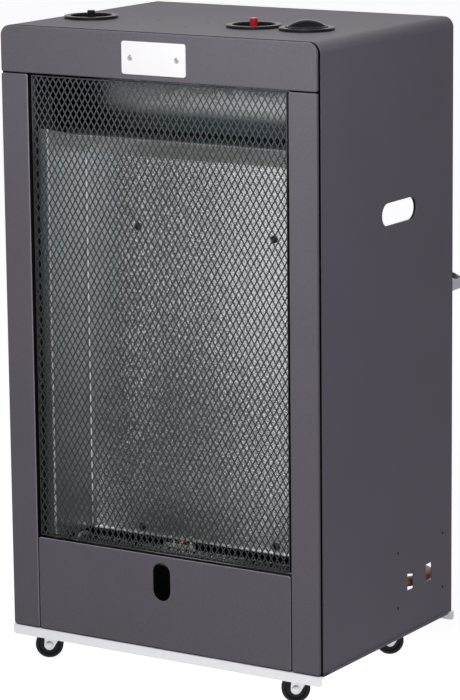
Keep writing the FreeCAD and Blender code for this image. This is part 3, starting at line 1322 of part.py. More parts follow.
def pieces():
    """Every piece by its name; a list is a group of identical solids."""
    guide_hole = GUIDE_NECK + 2 * BUTTON_FIT
    found = {
        "casing_wrap": casing_wrap(),
        "front_fascia": front_fascia(),
        "front_post_left": front_post(-1),
        "front_post_right": front_post(1),
        "lower_front_panel": lower_front_panel(),
        "mesh_guard": mesh_guard(),
        "name_plate": name_plate(),
        "name_plate_rivets": name_plate_rivets(),
        "base_tray": base_tray(),
        "control_bezel": bezel(CONTROL_X, SPINDLE_DIAMETER + 2 * PUSH_CLEARANCE),
        "igniter_bezel": bezel(IGNITER_X, guide_hole),
        "pilot_bezel": bezel(PILOT_BUTTON_X, guide_hole),
        "control_knob": control_knob(),
        "valve_spindle": valve_spindle(),
        "spindle_collar": spindle_collar(),
        "valve_body": valve_body(),
        "valve_bracket": valve_bracket(),
        "igniter_button": push_button(IGNITER_X, IGNITER_RISE, IGNITER_TRAVEL),
        "igniter_body": button_guide(IGNITER_X, IGNITER_LENGTH),
        "pilot_button": push_button(PILOT_BUTTON_X, PILOT_RISE, PILOT_TRAVEL),
        "pilot_button_guide": button_guide(PILOT_BUTTON_X, PILOT_LENGTH),
        "inlet_elbow": inlet_elbow(),
        "partition_panel": partition_panel(),
        "reflector_back": reflector_back(),
        "reflector_side_left": reflector_side(-1),
        "reflector_side_right": reflector_side(1),
        "reflector_hood": reflector_hood(),
        "reflector_screws": reflector_screws(),
        "reflector_standoffs": reflector_standoffs(),
        "hot_air_deflector": hot_air_deflector(),
        "burner_tube": burner_tube(),
        "burner_bracket_left": burner_bracket(-1),
        "burner_bracket_right": burner_bracket(1),
        "injector": injector(),
        "pilot_bracket": pilot_bracket(),
        "pilot_burner": pilot_burner(),
        "thermocouple": thermocouple(),
        "spark_electrode": spark_electrode(),
        "gas_pipe": pipe(gas_route(), GAS_PIPE, GAS_PIPE_BEND),
        "pilot_pipe": pipe(pilot_route(), PILOT_PIPE, PILOT_PIPE_BEND),
        "thermocouple_lead": pipe(probe_route(), PROBE_LEAD, LEAD_BEND),
        "spark_lead": pipe(spark_route(), SPARK_LEAD, LEAD_BEND),
        "bottle_bar": bottle_bar(),
        "gas_hose": gas_hose(),
        "hose_ferrules": hose_ferrules(),
        "regulator_body": regulator_body(),
        "regulator_nut": regulator_nut(),
        "caster_stems": [set_caster(caster_stem(), place) for place in caster_places().values()],
    }
    for corner, place in caster_places().items():
        found["caster_fork_" + corner] = set_caster(caster_fork(), place)
        found["caster_axle_" + corner] = set_caster(caster_axle(), place)
        found["caster_wheel_" + corner] = set_caster(caster_wheel(), place)
    return found


os.makedirs("parts", exist_ok=True)
for name, shape in pieces().items():
    solid = Part.makeCompound(shape) if isinstance(shape, list) else shape
    wanted = len(shape) if isinstance(shape, list) else 1
    if not solid.isValid() or len(solid.Solids) != wanted:
        print("check", name, "valid", solid.isValid(), "solids", len(solid.Solids), "wanted", wanted)
    solid.exportStep("parts/%s.step" % name)
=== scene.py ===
import json
import math

import bmesh
import bpy
from mathutils import Matrix, Vector


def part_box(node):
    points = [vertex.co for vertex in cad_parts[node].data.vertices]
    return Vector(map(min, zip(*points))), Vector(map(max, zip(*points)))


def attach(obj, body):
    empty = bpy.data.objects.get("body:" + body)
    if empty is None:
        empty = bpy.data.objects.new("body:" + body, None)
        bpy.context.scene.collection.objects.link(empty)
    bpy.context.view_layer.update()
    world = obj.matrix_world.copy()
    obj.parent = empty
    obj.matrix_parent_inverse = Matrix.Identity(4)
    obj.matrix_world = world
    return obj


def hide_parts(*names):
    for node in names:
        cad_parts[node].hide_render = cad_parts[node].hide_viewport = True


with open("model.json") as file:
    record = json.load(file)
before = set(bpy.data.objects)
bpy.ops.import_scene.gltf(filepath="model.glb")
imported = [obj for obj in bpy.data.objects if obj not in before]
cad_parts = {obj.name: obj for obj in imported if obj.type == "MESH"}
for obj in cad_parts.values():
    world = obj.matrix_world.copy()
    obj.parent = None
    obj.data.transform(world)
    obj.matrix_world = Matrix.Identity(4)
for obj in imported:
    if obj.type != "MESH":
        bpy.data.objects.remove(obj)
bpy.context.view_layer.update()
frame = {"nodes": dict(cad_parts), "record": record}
nodes = frame["nodes"]

# Millimetres in a metre, and the front face and the tray's top in the row frame in millimetres
MM = 1000
FRONT_Y = -180.25
TRAY_TOP = 44.7

X_AXIS = Vector((1, 0, 0))
Y_AXIS = Vector((0, 1, 0))
Z_AXIS = Vector((0, 0, 1))


def at(x, depth, height):
    """A point in metres from millimetres across, behind the front face and above the tray."""
    return Vector((x / MM, (FRONT_Y + depth) / MM, (TRAY_TOP + height) / MM))


def grey(value):
    return (value, value, value)


def tinted(colour, factor):
    return tuple(min(1.0, c * factor) for c in colour)


# Sockets of the mix node, whose names repeat
MIX_FACTOR = 0
MIX_FLOATS = (2, 3)
MIX_COLOURS = (6, 7)
MIX_FLOAT_OUT = 0
MIX_COLOUR_OUT = 2

NOISE_ROUGHNESS = 0.55
COLOUR_STOPS = (0.25, 0.75)
WHITE = (1.0, 1.0, 1.0, 1.0)
# Near white of the painted highlights on the chamber's bends
BEND_HIGHLIGHT = (0.96, 0.96, 0.96, 1.0)


class Shader:
    """A node material with a Principled shader, and short ways to add texture to it."""

    def __init__(self, name):
        self.material = bpy.data.materials.new(name)
        self.material.use_nodes = True
        self.tree = self.material.node_tree
        self.bsdf = self.tree.nodes["Principled BSDF"]
        self.place = self.tree.nodes.new("ShaderNodeTexCoord").outputs["Object"]

    def set(self, **values):
        """Constant values on the shader's own sockets."""
        for key, value in values.items():
            self.bsdf.inputs[key.replace("_", " ")].default_value = value
        return self

    def add(self, kind, **settings):
        """A new node, with settings that are its properties or the values of its inputs."""
        node = self.tree.nodes.new(kind)
        for key, value in settings.items():
            if key in node.bl_rna.properties:
                setattr(node, key, value)
            else:
                node.inputs[key.replace("_", " ")].default_value = value
        return node

    def link(self, source, target):
        self.tree.links.new(source, target)

    def noise(self, scale, detail):
        node = self.add("ShaderNodeTexNoise", Scale=scale, Detail=detail, Roughness=NOISE_ROUGHNESS)
        self.link(self.place, node.inputs["Vector"])
        return node.outputs["Fac"]

    def cells(self, scale):
        """One random value for each cell of a Voronoi pattern."""
        node = self.add("ShaderNodeTexVoronoi", Scale=scale)
        self.link(self.place, node.inputs["Vector"])
        split = self.add("ShaderNodeSeparateColor")
        self.link(node.outputs["Color"], split.inputs["Color"])
        return split.outputs["Red"]

    def ramp(self, value, stops):
        """A colour ramp over value, from places and their colours or levels of grey."""
        node = self.add("ShaderNodeValToRGB")
        elements = node.color_ramp.elements
        while len(elements) < len(stops):
            elements.new(0.5)
        for element, (place, colour) in zip(elements, stops):
            element.position = place
            element.color = (*(colour if isinstance(colour, tuple) else grey(colour)), 1.0)
        self.link(value, node.inputs["Fac"])
        return node.outputs["Color"]

    def spread(self, value, low, high):
        """A value from 0 to 1 stretched onto low to high."""
        node = self.add("ShaderNodeMapRange", To_Min=low, To_Max=high)
        self.link(value, node.inputs["Value"])
        return node.outputs["Result"]

    def between(self, value, low, high):
        """A value from low to high stretched onto 0 to 1."""
        node = self.add("ShaderNodeMapRange", From_Min=low, From_Max=high)
        self.link(value, node.inputs["Value"])
        return node.outputs["Result"]

    def coordinate(self, axis):
        split = self.add("ShaderNodeSeparateXYZ")
        self.link(self.place, split.inputs[0])
        return split.outputs[axis]

    def along(self, axis, low, high):
        """How far a place lies from low to high along an axis, from 0 to 1."""
        return self.between(self.coordinate(axis), low, high)

    def from_middle(self, low, high):
        """How far a place lies from low to high sideways of the middle, on either side."""
        size = self.add("ShaderNodeMath", operation="ABSOLUTE")
        self.link(self.coordinate("X"), size.inputs[0])
        return self.between(size.outputs[0], low, high)

    def larger(self, a, b):
        node = self.add("ShaderNodeMath", operation="MAXIMUM")
        self.link(a, node.inputs[0])
        self.link(b, node.inputs[1])
        return node.outputs[0]

    def inverted(self, value):
        """One less the value."""
        node = self.add("ShaderNodeMath", operation="SUBTRACT")
        node.inputs[0].default_value = 1.0
        self.link(value, node.inputs[1])
        return node.outputs[0]

    def blend(self, a, b, amount):
        """A mix of two values."""
        node = self.add("ShaderNodeMix", data_type="FLOAT")
        node.inputs[MIX_FACTOR].default_value = amount
        for value, socket in zip((a, b), MIX_FLOATS):
            self.link(value, node.inputs[socket])
        return node.outputs[MIX_FLOAT_OUT]

    def unless(self, mask, source, colour=WHITE):
        """A source of colour that gives way to another colour where the mask is 1."""
        node = self.add("ShaderNodeMix", data_type="RGBA")
        node.inputs[MIX_COLOURS[1]].default_value = colour
        self.link(mask, node.inputs[MIX_FACTOR])
        self.link(source, node.inputs[MIX_COLOURS[0]])
        return node.outputs[MIX_COLOUR_OUT]

    def tint(self, *ramps):
        """Multiplies the base colour by colour ramps."""
        socket = self.bsdf.inputs["Base Color"]
        for ramp in ramps:
            node = self.add("ShaderNodeMix", data_type="RGBA", blend_type="MULTIPLY")
            node.inputs[MIX_FACTOR].default_value = 1.0
            for source, place in zip((socket.links[0].from_socket, ramp), MIX_COLOURS):
                self.link(source, node.inputs[place])
            self.link(node.outputs[MIX_COLOUR_OUT], socket)
        return self

    def colour(self, value, dark, light):
        stops = list(zip(COLOUR_STOPS, (dark, light)))
        self.link(self.ramp(value, stops), self.bsdf.inputs["Base Color"])
        return self

    def rough(self, value, low, high):
        self.link(self.spread(value, low, high), self.bsdf.inputs["Roughness"])
        return self

    def facets(self, scale, tilt):
        """Tilts the surface by a random amount in each cell, as the crystals of a metal coat do."""
        node = self.add("ShaderNodeTexVoronoi", Scale=scale)
        self.link(self.place, node.inputs["Vector"])
        centred = self.add("ShaderNodeVectorMath", operation="SUBTRACT")
        centred.inputs[1].default_value = grey(0.5)
        self.link(node.outputs["Color"], centred.inputs[0])
        scaled = self.add("ShaderNodeVectorMath", operation="SCALE")
        scaled.inputs["Scale"].default_value = tilt
        self.link(centred.outputs[0], scaled.inputs[0])
        normal = self.add("ShaderNodeNewGeometry").outputs["Normal"]
        moved = self.add("ShaderNodeVectorMath", operation="ADD")
        self.link(normal, moved.inputs[0])
        self.link(scaled.outputs[0], moved.inputs[1])
        unit = self.add("ShaderNodeVectorMath", operation="NORMALIZE")
        self.link(moved.outputs[0], unit.inputs[0])
        self.link(unit.outputs[0], self.bsdf.inputs["Normal"])
        return self

    def bump(self, value, distance, strength):
        node = self.add("ShaderNodeBump", Strength=strength, Distance=distance)
        self.link(value, node.inputs["Height"])
        self.link(node.outputs["Normal"], self.bsdf.inputs["Normal"])
        return self


# Kinds of surface
COAT = (0.133, 0.124, 0.142)
COAT_ROUGH = (0.42, 0.58)
COAT_GRAIN = 0.00025
COAT_SPECULAR = 0.08


def powder_coat(name):
    """Fine-textured powder coat."""
    s = Shader(name)
    grain = s.noise(scale=900, detail=2.0)
    patches = s.noise(scale=9, detail=2.0)
    s.colour(s.blend(grain, patches, amount=0.2), tinted(COAT, 0.8), tinted(COAT, 1.2))
    s.rough(grain, *COAT_ROUGH).bump(grain, COAT_GRAIN, strength=0.3)
    return s.set(Specular_IOR_Level=COAT_SPECULAR)


def sheet(name, colour, scale, contrast, rough, metallic=1.0, tilt=0.1):
    """Galvanised or aluminised sheet with a crystal pattern."""
    s = Shader(name)
    cells = s.blend(s.cells(scale), s.cells(scale * 2.7), amount=0.4)
    mottled = s.blend(cells, s.noise(scale * 5, detail=2.0), amount=0.35)
    s.colour(mottled, tinted(colour, 1 - contrast), tinted(colour, 1 + contrast))
    s.rough(cells, *rough).facets(scale, tilt)
    return s.set(Metallic=metallic)


def turned(name, colour, rough, metallic=1.0):
    """Plain metal with faint handling marks."""
    s = Shader(name)
    marks = s.blend(s.noise(scale=420, detail=3.0), s.noise(scale=60, detail=4.0), amount=0.5)
    s.colour(marks, tinted(colour, 0.86), tinted(colour, 1.1))
    s.rough(marks, *rough).bump(marks, 0.0002, strength=0.08)
    return s.set(Metallic=metallic)


def moulded(name, colour, rough, grain=900, depth=0.0002, strength=0.15, vary=0.22, specular=0.5):
    """Moulded plastic, rubber or a smooth coat with a fine surface grain."""
    s = Shader(name)
    fine = s.noise(grain, detail=3.0)
    mottled = s.blend(fine, s.noise(scale=45, detail=2.0), amount=0.5)
    s.colour(mottled, tinted(colour, 1 - vary), tinted(colour, 1 + vary))
    s.rough(fine, *rough).bump(fine, depth, strength)
    return s.set(Specular_IOR_Level=specular)


# Surfaces that change across a piece, with their bounds in metres
POST_FOLD = 0.004
POST_EDGE = (0.176, 0.178)
WALL_INNER = 0.0013
WALL_MIDDLE = 0.0007
WALL_OUTER = 0.0003
DECK_BELOW = 0.0135
DECK_ABOVE = 0.0125
# Painted light on the outer faces of the casing's side walls
PAINTED_SIDE_TINT = (1.13, 1.11, 1.19)
TRAY_EDGE = (0.002, 0.001)
CHAMBER_LIP = 0.005
CHAMBER_FOOT = 0.12
# Middle and reach of the painted pool of light on the chamber's back
LIGHT_POOL_X = -0.15
LIGHT_POOL_Z = 0.32
LIGHT_POOL_REACH = 0.1
HOOD_LIP = 0.004


def post_coat_painted_light():
    """Coat with a painted highlight along the edges beside the guard, and painted shade on what is
    folded back.
    """
    s = powder_coat("powder_coat_posts_painted_light")
    front = FRONT_Y / MM
    # Painted highlight on the rounded edge, then painted shade on the return behind it
    depth = s.ramp(s.along("Y", front, front + POST_FOLD),
                   [(0.0, 1.0), (0.08, 1.0), (0.15, 2.2), (0.36, 2.2), (0.48, 0.05)])
    return s.tint(s.unless(s.from_middle(*POST_EDGE), depth))


def casing_coat():
    """Coat with painted shade inside the casing, and painted light, lighter and bluer, on the outer
    faces of its side walls.
    """
    s = powder_coat("powder_coat_casing")
    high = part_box("casing_wrap")[1]
    # Painted shade: all but the outer skin of the side walls and the deck goes dark
    outer = s.larger(s.from_middle(high.x - WALL_INNER, high.x - WALL_MIDDLE),
                     s.along("Z", high.z - DECK_BELOW, high.z - DECK_ABOVE))
    inside = s.ramp(outer, [(0.0, 0.16), (1.0, 1.0)])
    # Painted light on the outer faces of the side walls
    painted_side_light = s.ramp(s.from_middle(high.x - WALL_MIDDLE, high.x - WALL_OUTER),
                   [(0.0, 1.0), (1.0, PAINTED_SIDE_TINT)])
    return s.tint(inside, painted_side_light)


def tray_sheet():
    """Pale tray, with painted shade in the gap beneath the front panels and along its side edges."""
    s = sheet("tray_sheet", (0.79, 0.79, 0.805), scale=160, contrast=0.02, rough=(0.35, 0.5),
              metallic=0.5, tilt=0.03)
    low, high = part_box("base_tray")
    depth = s.along("Y", low.y, high.y)
    # Painted shade in the gap beneath the front panels, and along the side edges
    under = s.ramp(depth, [(0.0, 1.0), (0.006, 1.0), (0.012, 0.06), (0.05, 0.06), (0.07, 1.0)])
    edge = s.ramp(depth, [(0.0, 1.0), (0.03, 1.0), (0.04, 0.06), (0.95, 0.06), (0.97, 1.0)])
    inside = s.inverted(s.from_middle(*(high.x - inset for inset in TRAY_EDGE)))
    return s.tint(under, s.unless(inside, edge))


def chamber_back():
    """Back of the chamber, with painted light and shade over its height and width, a painted pool of
    light on its left, and a painted highlight along its lower edge.
    """
    s = sheet("chamber_back", (0.5, 0.51, 0.515), scale=1300, contrast=0.35, rough=(0.14, 0.26),
              tilt=0.16)
    # Random crystal tone, with its brightest cells painted as glints
    crystal_tone_and_painted_glints = s.ramp(s.cells(1050), [(0.0, 0.5), (0.5, 0.8), (0.78, 1.0), (0.9, 2.0), (1.0, 2.4)])
    # Painted light and shade over the height of the back
    painted_light_by_height = s.ramp(s.along("Z", 0.15, 0.6),
                [(0.0, 0.74), (0.07, 0.64), (0.13, 0.5), (0.28, 0.48), (0.36, 0.52), (0.47, 0.68),
                 (0.53, 0.84), (0.64, 1.0), (0.8, 1.08)])
    # Painted light and shade across the back, brighter towards either end
    across = s.ramp(s.along("X", -0.17, 0.11),
                    [(0.0, (2.2, 2.28, 2.36)), (0.115, (1.9, 1.94, 1.98)), (0.2, 1.36), (0.31, 0.9),
                     (0.41, 0.82), (0.62, 1.09), (0.83, 1.72), (1.0, 2.15)])
    low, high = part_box("reflector_back")
    # Painted highlight along the lower edge
    painted_lip_highlight = s.ramp(s.along("Z", low.z, low.z + CHAMBER_LIP), [(0.0, 1.3), (0.4, 1.3), (0.5, 1.0)])
    shine = s.ramp(s.along("Z", low.z, low.z + CHAMBER_FOOT), [(0.0, 0.35), (0.4, 0.45), (1.0, 1.0)])
    s.link(shine, s.bsdf.inputs["Metallic"])
    # Painted pool of light on the left of the back
    far = s.add("ShaderNodeVectorMath", operation="DISTANCE")
    far.inputs[1].default_value = (LIGHT_POOL_X, (low.y + high.y) / 2, LIGHT_POOL_Z)
    s.link(s.place, far.inputs[0])
    painted_light_pool = s.ramp(s.between(far.outputs["Value"], 0.0, LIGHT_POOL_REACH), [(0.0, 1.55), (1.0, 1.0)])
    return s.tint(crystal_tone_and_painted_glints, painted_light_by_height, across, painted_lip_highlight, painted_light_pool)


def hood_sheet():
    """Hood of the chamber, with a painted highlight along its front edge."""
    s = sheet("hood_sheet", (0.8, 0.775, 0.75), scale=700, contrast=0.15, rough=(0.24, 0.34),
              metallic=0.8, tilt=0.05)
    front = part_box("reflector_hood")[0].y
    # Painted highlight just behind the front edge
    return s.tint(s.ramp(s.along("Y", front, front + HOOD_LIP), [(0.0, 2.2), (0.3, 2.2), (0.4, 1.0)]))


def chamber_side():
    """Side of the chamber, smooth, with painted light towards its top and painted highlights along its
    two bends.
    """
    s = sheet("chamber_side", (0.38, 0.415, 0.43), scale=700, contrast=0.25, rough=(0.16, 0.26),
              metallic=0.6, tilt=0.06)
    # Painted light, brighter towards the top
    s.tint(s.ramp(s.along("Z", 0.15, 0.7),
                  [(0.0, 0.78), (0.16, 0.72), (0.3, 0.72), (0.52, 1.05), (0.66, 1.2), (0.75, 1.35),
                   (0.88, 1.45)]))
    front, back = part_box("reflector_side_left")
    # Painted highlights along the two bends, set near white below
    bends = s.ramp(s.along("Y", front.y, back.y),
                   [(0.0, 0.0), (0.009, 0.0), (0.013, 1.0), (0.022, 1.0), (0.028, 0.0),
                    (0.966, 0.0), (0.972, 1.0), (0.984, 1.0), (0.988, 0.0)])
    socket = s.bsdf.inputs["Base Color"]
    s.link(s.unless(bends, socket.links[0].from_socket, BEND_HIGHLIGHT), socket)
    return s


def deflector_sheet():
    """Curved sheet over the chamber, with painted reflection: a dark blue-grey band along its lower
    edge, bright above, and painted shade towards its left end.
    """
    s = sheet("deflector_sheet", (0.82, 0.86, 0.86), scale=90, contrast=0.08, rough=(0.24, 0.34),
              tilt=0.05)
    # Painted reflection: dark blue-grey low down, bright above
    painted_light_by_height = s.ramp(s.along("Z", 0.63, 0.7),
                [(0.0, (0.05, 0.075, 0.085)), (0.25, (0.06, 0.085, 0.095)), (0.5, 0.75), (1.0, 1.0)])
    # Painted shade towards the left end
    across = s.ramp(s.along("X", -0.17, 0.1), [(0.0, 0.03), (0.1, 0.15), (0.3, 0.6), (1.0, 1.0)])
    return s.tint(painted_light_by_height, across)


def partition_paint():
    """Coat on the partition, nearly black low down as painted shade, and a lighter blue-grey at its
    upper edge.
    """
    s = Shader("partition_paint")
    grain = s.noise(scale=1400, detail=2.0)
    s.colour(grain, 0.9, 1.0).rough(grain, *COAT_ROUGH).bump(grain, COAT_GRAIN, strength=0.22)
    # Painted shade: nearly black low down, lighter blue-grey towards the top
    s.tint(s.ramp(s.along("Z", 0.3, 0.6), [(0.0, (0.008, 0.008, 0.009)), (1.0, (0.22, 0.27, 0.285))]))
    return s.set(Specular_IOR_Level=COAT_SPECULAR)


def burner_steel():
    """Burner tube, dark as painted shade and reflection of dark surroundings, with a painted highlight
    along its middle.
    """
    s = turned("burner_steel", grey(0.6), rough=(0.16, 0.26))
    # Painted reflection: dark ends and a bright middle
    return s.tint(s.ramp(s.along("X", -0.16, 0.16),
                         [(0.0, 0.2), (0.3, 0.22), (0.42, 0.9), (0.68, 0.9), (0.78, 0.22), (1.0, 0.2)]))


def guard_strand():
    """Strands of the guard, with a painted highlight towards the top."""
    s = turned("guard_strand", (0.024, 0.025, 0.026), rough=(0.35, 0.5), metallic=0.3)
    # Painted highlight: 3.3 times brighter towards the top
    return s.tint(s.ramp(s.along("Z", 0.6, 0.65), [(0.0, 1.0), (1.0, 3.3)]))


# Finish of each material slot, and of the pieces that differ from their slot
FINISH = {
    "casing_paint": powder_coat("powder_coat"),
    "guard_steel": guard_strand(),
    "plate": moulded("plate_satin", (0.9, 0.89, 0.885), rough=(0.4, 0.5), grain=1600, depth=0.0001,
                     strength=0.05, vary=0.03),
    "galvanised": sheet("zinc_sheet", (0.7, 0.7, 0.72), scale=160, contrast=0.08, rough=(0.35, 0.5),
                        metallic=0.75),
    "reflector": chamber_back(),
    "black_plastic": moulded("black_plastic", (0.009, 0.009, 0.01), rough=(0.22, 0.32), specular=0.1),
    "red_plastic": moulded("red_plastic", (0.34, 0.01, 0.016), rough=(0.12, 0.2), grain=300,
                           depth=0.0001, strength=0.05, specular=0.3),
    "steel": turned("bright_steel", grey(0.7), rough=(0.2, 0.35)),
    "burner": burner_steel(),
    "screws": turned("black_screw", grey(0.02), rough=(0.3, 0.45), metallic=0.6),
    "cast_alloy": sheet("cast_alloy", grey(0.5), scale=700, contrast=0.08, rough=(0.45, 0.6)),
    "brass": turned("brass", (0.78, 0.52, 0.2), rough=(0.2, 0.35)),
    "copper": turned("copper", (0.78, 0.36, 0.2), rough=(0.22, 0.4)),
    "ceramic": moulded("ceramic", (0.8, 0.78, 0.72), rough=(0.35, 0.5)),
    "lead_rubber": moulded("lead_rubber", grey(0.012), rough=(0.5, 0.65), specular=0.1),
    "hose_rubber": moulded("hose_rubber", (0.42, 0.1, 0.02), rough=(0.42, 0.58), grain=500,
                           depth=0.0003, strength=0.2),
    "caster_steel": turned("caster_zinc", (0.66, 0.66, 0.67), rough=(0.25, 0.4), metallic=0.8),
    "wheel": moulded("tyre", (0.011, 0.012, 0.013), rough=(0.45, 0.6), grain=1100, strength=0.2,
                     specular=0.25),
}
POST_COAT_PAINTED_LIGHT = post_coat_painted_light()
SIDE = chamber_side()
RIVET = turned("rivet_steel", grey(0.4), rough=(0.2, 0.3))
# Dull black for pieces that paint shade into seams and holes
PAINTED_SHADE = moulded("painted_seam_shade", (0.005, 0.005, 0.0055), rough=(0.8, 0.95), specular=0.0)
SPECIAL = {
    "base_tray": tray_sheet(),
    "bottle_bar": sheet("bar_zinc", (0.33, 0.345, 0.365), scale=160, contrast=0.08, rough=(0.35, 0.5),
                        metallic=0.7),
    "casing_wrap": casing_coat(),
    "front_post_left": POST_COAT_PAINTED_LIGHT,
    "front_post_right": POST_COAT_PAINTED_LIGHT,
    "hot_air_deflector": deflector_sheet(),
    "lower_front_panel": POST_COAT_PAINTED_LIGHT,
    "name_plate_rivets": RIVET,
    "partition_panel": partition_paint(),
    "reflector_hood": hood_sheet(),
    "reflector_side_left": SIDE,
    "reflector_side_right": SIDE,
}


def dress(obj, shader):
    obj.data.materials.clear()
    obj.data.materials.append(shader.material)


for entry in frame["record"]["subparts"]:
    name = entry["node"]
    dress(nodes[name], SPECIAL.get(name, FINISH[entry["material_slot"]]))


def new_object(name, data, body, shader):
    """A new piece that rides on a body."""
    obj = bpy.data.objects.new(name, data)
    bpy.context.scene.collection.objects.link(obj)
    dress(obj, shader)
    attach(obj, body)
    return obj


def built_mesh(name, verts, faces):
    """A mesh from points and faces, with its normals turned outwards."""
    mesh = bpy.data.meshes.new(name)
    mesh.from_pydata(verts, [], faces)
    work = bmesh.new()
    work.from_mesh(mesh)
    bmesh.ops.recalc_face_normals(work, faces=work.faces)
    work.to_mesh(mesh)
    work.free()
    return mesh


def add_rings(verts, faces, middle, across, along, axis, profile, steps):
    """A closed form of rings round an axis, from radii and heights in millimetres."""
    first = len(verts)
    for radius, height in profile:
        for k in range(steps):
            angle = 2 * math.pi * k / steps
            reach = across * radius * math.cos(angle) + along * radius * math.sin(angle)
            verts.append(middle + (reach + axis * height) / MM)
    last = first + (len(profile) - 1) * steps
    for ring in range(first, last, steps):
        for k in range(steps):
            n = (k + 1) % steps
            faces.append((ring + k, ring + n, ring + steps + n, ring + steps + k))
    for end in (first, last):
        faces.append(tuple(range(end, end + steps)))


# Gas hose, in metres, with its route in millimetres across, behind the front face and above the tray
HOSE_DIAMETER = 0.012
HOSE_ROUTE = [
    (148.0, 156.5, 600.000),
    (148.0, 156.5, 545.778),
    (149.5, 158.0, 491.556),
    (154.5, 157.5, 437.333),
    (168.0, 156.5, 383.111),
    (186.0, 156.5, 328.889),
    (197.0, 156.0, 274.667),
    (200.0, 155.0, 220.444),
    (200.5, 156.0, 166.222),
    (200.5, 157.5, 112.000),
    (200.5, 175.0, 77.000),
    (200.5, 207.5, 56.500),
    (200.5, 270.5, 51.500),
    (181.5, 303.4, 47.500),
    (148.6, 322.4, 40.500),
    (110.6, 322.4, 32.000),
    (77.7, 303.4, 24.000),
    (58.7, 270.5, 18.500),
    (58.7, 233.0, 18.500),
]
curve = bpy.data.curves.new("hose_line", "CURVE")
curve.dimensions = "3D"
curve.bevel_depth = HOSE_DIAMETER / 2
curve.bevel_resolution = 5
curve.resolution_u = 10
curve.use_fill_caps = True
spline = curve.splines.new("NURBS")
spline.points.add(len(HOSE_ROUTE) - 1)
for point, place in zip(spline.points, HOSE_ROUTE):
    point.co = (*at(*place), 1.0)
spline.order_u = 3
spline.use_endpoint_u = True
hose = new_object("hose", curve, "cabinet", FINISH["hose_rubber"])
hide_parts("gas_hose")

# Expanded-metal guard in millimetres: a flat net of tilted strands, folded back along its four edges
guard_low, guard_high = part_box("mesh_guard")
HALF = (guard_high.x - guard_low.x) * MM / 2
TALL = (guard_high.z - guard_low.z) * MM / 2
MIDDLE = (guard_high.z + guard_low.z) * MM / 2
FACE = guard_low.y * MM
BACK = guard_high.y * MM
COLUMN = 7.95
ROW = 13.1
STRAND = 1.35
THICK = 0.7
KNOT = 0.35
FOLD = 1.2
FLAP = 3.0
RIM = 0.8
RIM_INSET = 0.3
TILT = math.radians(20)
PROUD = STRAND / 2 * math.sin(TILT) + THICK / 2 * math.cos(TILT)
CORNERS = ((-1, -1), (1, -1), (1, 1), (-1, 1))


def folded(u, half, out):
    """Place across and depth on a sheet that folds back at its edge, for a point out of its middle."""
    over = abs(u) - (half - FOLD)
    if over <= 0:
        return u, -out
    angle = over / FOLD
    if angle < math.pi / 2:
        across = half - FOLD + (FOLD + out) * math.sin(angle)
        return math.copysign(across, u), FOLD - (FOLD + out) * math.cos(angle)
    return math.copysign(half + out, u), FOLD + over - FOLD * math.pi / 2


def net_place(u, v, out):
    """A point of the net in metres, from its place on the flat sheet and its distance out of it."""
    x, depth = folded(u, HALF - PROUD, out)
    z = v
    if depth == -out:
        z, depth = folded(v, TALL - PROUD, out)
    return Vector((x, FACE + PROUD + depth, MIDDLE + z)) / MM


def add_bar(verts, faces, start, end):
    """A strand from start to end, tilted out of the sheet."""
    along = (end - start).normalized()
    side = Vector((-along.y, along.x))
    first = len(verts)
    for point in (start - along * KNOT, end + along * KNOT):
        for across, deep in CORNERS:
            flat = across * STRAND / 2 * math.cos(TILT) - deep * THICK / 2 * math.sin(TILT)
            out = across * STRAND / 2 * math.sin(TILT) + deep * THICK / 2 * math.cos(TILT)
            spot = point + side * flat
            verts.append(net_place(spot.x, spot.y, -out))
    for k in range(4):
        n = (k + 1) % 4
        faces.append((first + k, first + n, first + 4 + n, first + 4 + k))
    faces.append((first + 3, first + 2, first + 1, first))
    faces.append((first + 4, first + 5, first + 6, first + 7))


def add_rim(verts, faces):
    """The solid border folded back round the net."""
    first = len(verts)
    for depth in (FACE + FOLD + PROUD, BACK):
        for inset in (RIM_INSET, RIM_INSET + RIM):
            for x, z in CORNERS:
                verts.append(Vector((x * (HALF - inset), depth, MIDDLE + z * (TALL - inset))) / MM)
    outer, inner, outer_back, inner_back = (first + 4 * k for k in range(4))
    for k in range(4):
        n = (k + 1) % 4
        faces.append((outer + k, outer + n, inner + n, inner + k))
        faces.append((outer_back + n, outer_back + k, inner_back + k, inner_back + n))
        faces.append((outer + n, outer + k, outer_back + k, outer_back + n))
        faces.append((inner + k, inner + n, inner_back + n, inner_back + k))


def net_mesh():
    """Strands between the knots of a diamond net, with its folded border."""
    wide = HALF - PROUD - FOLD
    tall = TALL - PROUD - FOLD
    edge_u = wide + FOLD * math.pi / 2 + FLAP
    edge_v = tall + FOLD * math.pi / 2 + FLAP
    verts = []
    faces = []
    count_u = int(edge_u / (COLUMN / 2)) + 1
    count_v = int(edge_v / (ROW / 2)) + 1
    for i in range(-count_u, count_u):
        for j in range(-count_v, count_v):
            if (i + j) % 2:
                continue
            for step in (1, -1):
                a = Vector((i * COLUMN / 2, j * ROW / 2))
                b = Vector(((i + step) * COLUMN / 2, (j + 1) * ROW / 2))
                middle = (a + b) / 2
                if abs(middle.x) > edge_u or abs(middle.y) > edge_v:
                    continue
                if abs(middle.x) > wide and abs(middle.y) > tall:
                    continue
                add_bar(verts, faces, a, b)
    add_rim(verts, faces)
    return built_mesh("guard_net", verts, faces)


guard = new_object("guard_net", net_mesh(), "cabinet", FINISH["guard_steel"])
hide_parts("mesh_guard")

# Dark strips that paint shade in the seams between the fascia and the posts, in millimetres across and
# behind the front face
STRIP_PLAN = [(175.0, 1.6), (207.6, 1.6), (209.4, 3.0), (209.4, 5.6), (175.0, 5.6)]
STRIP_ROOM = 0.0001


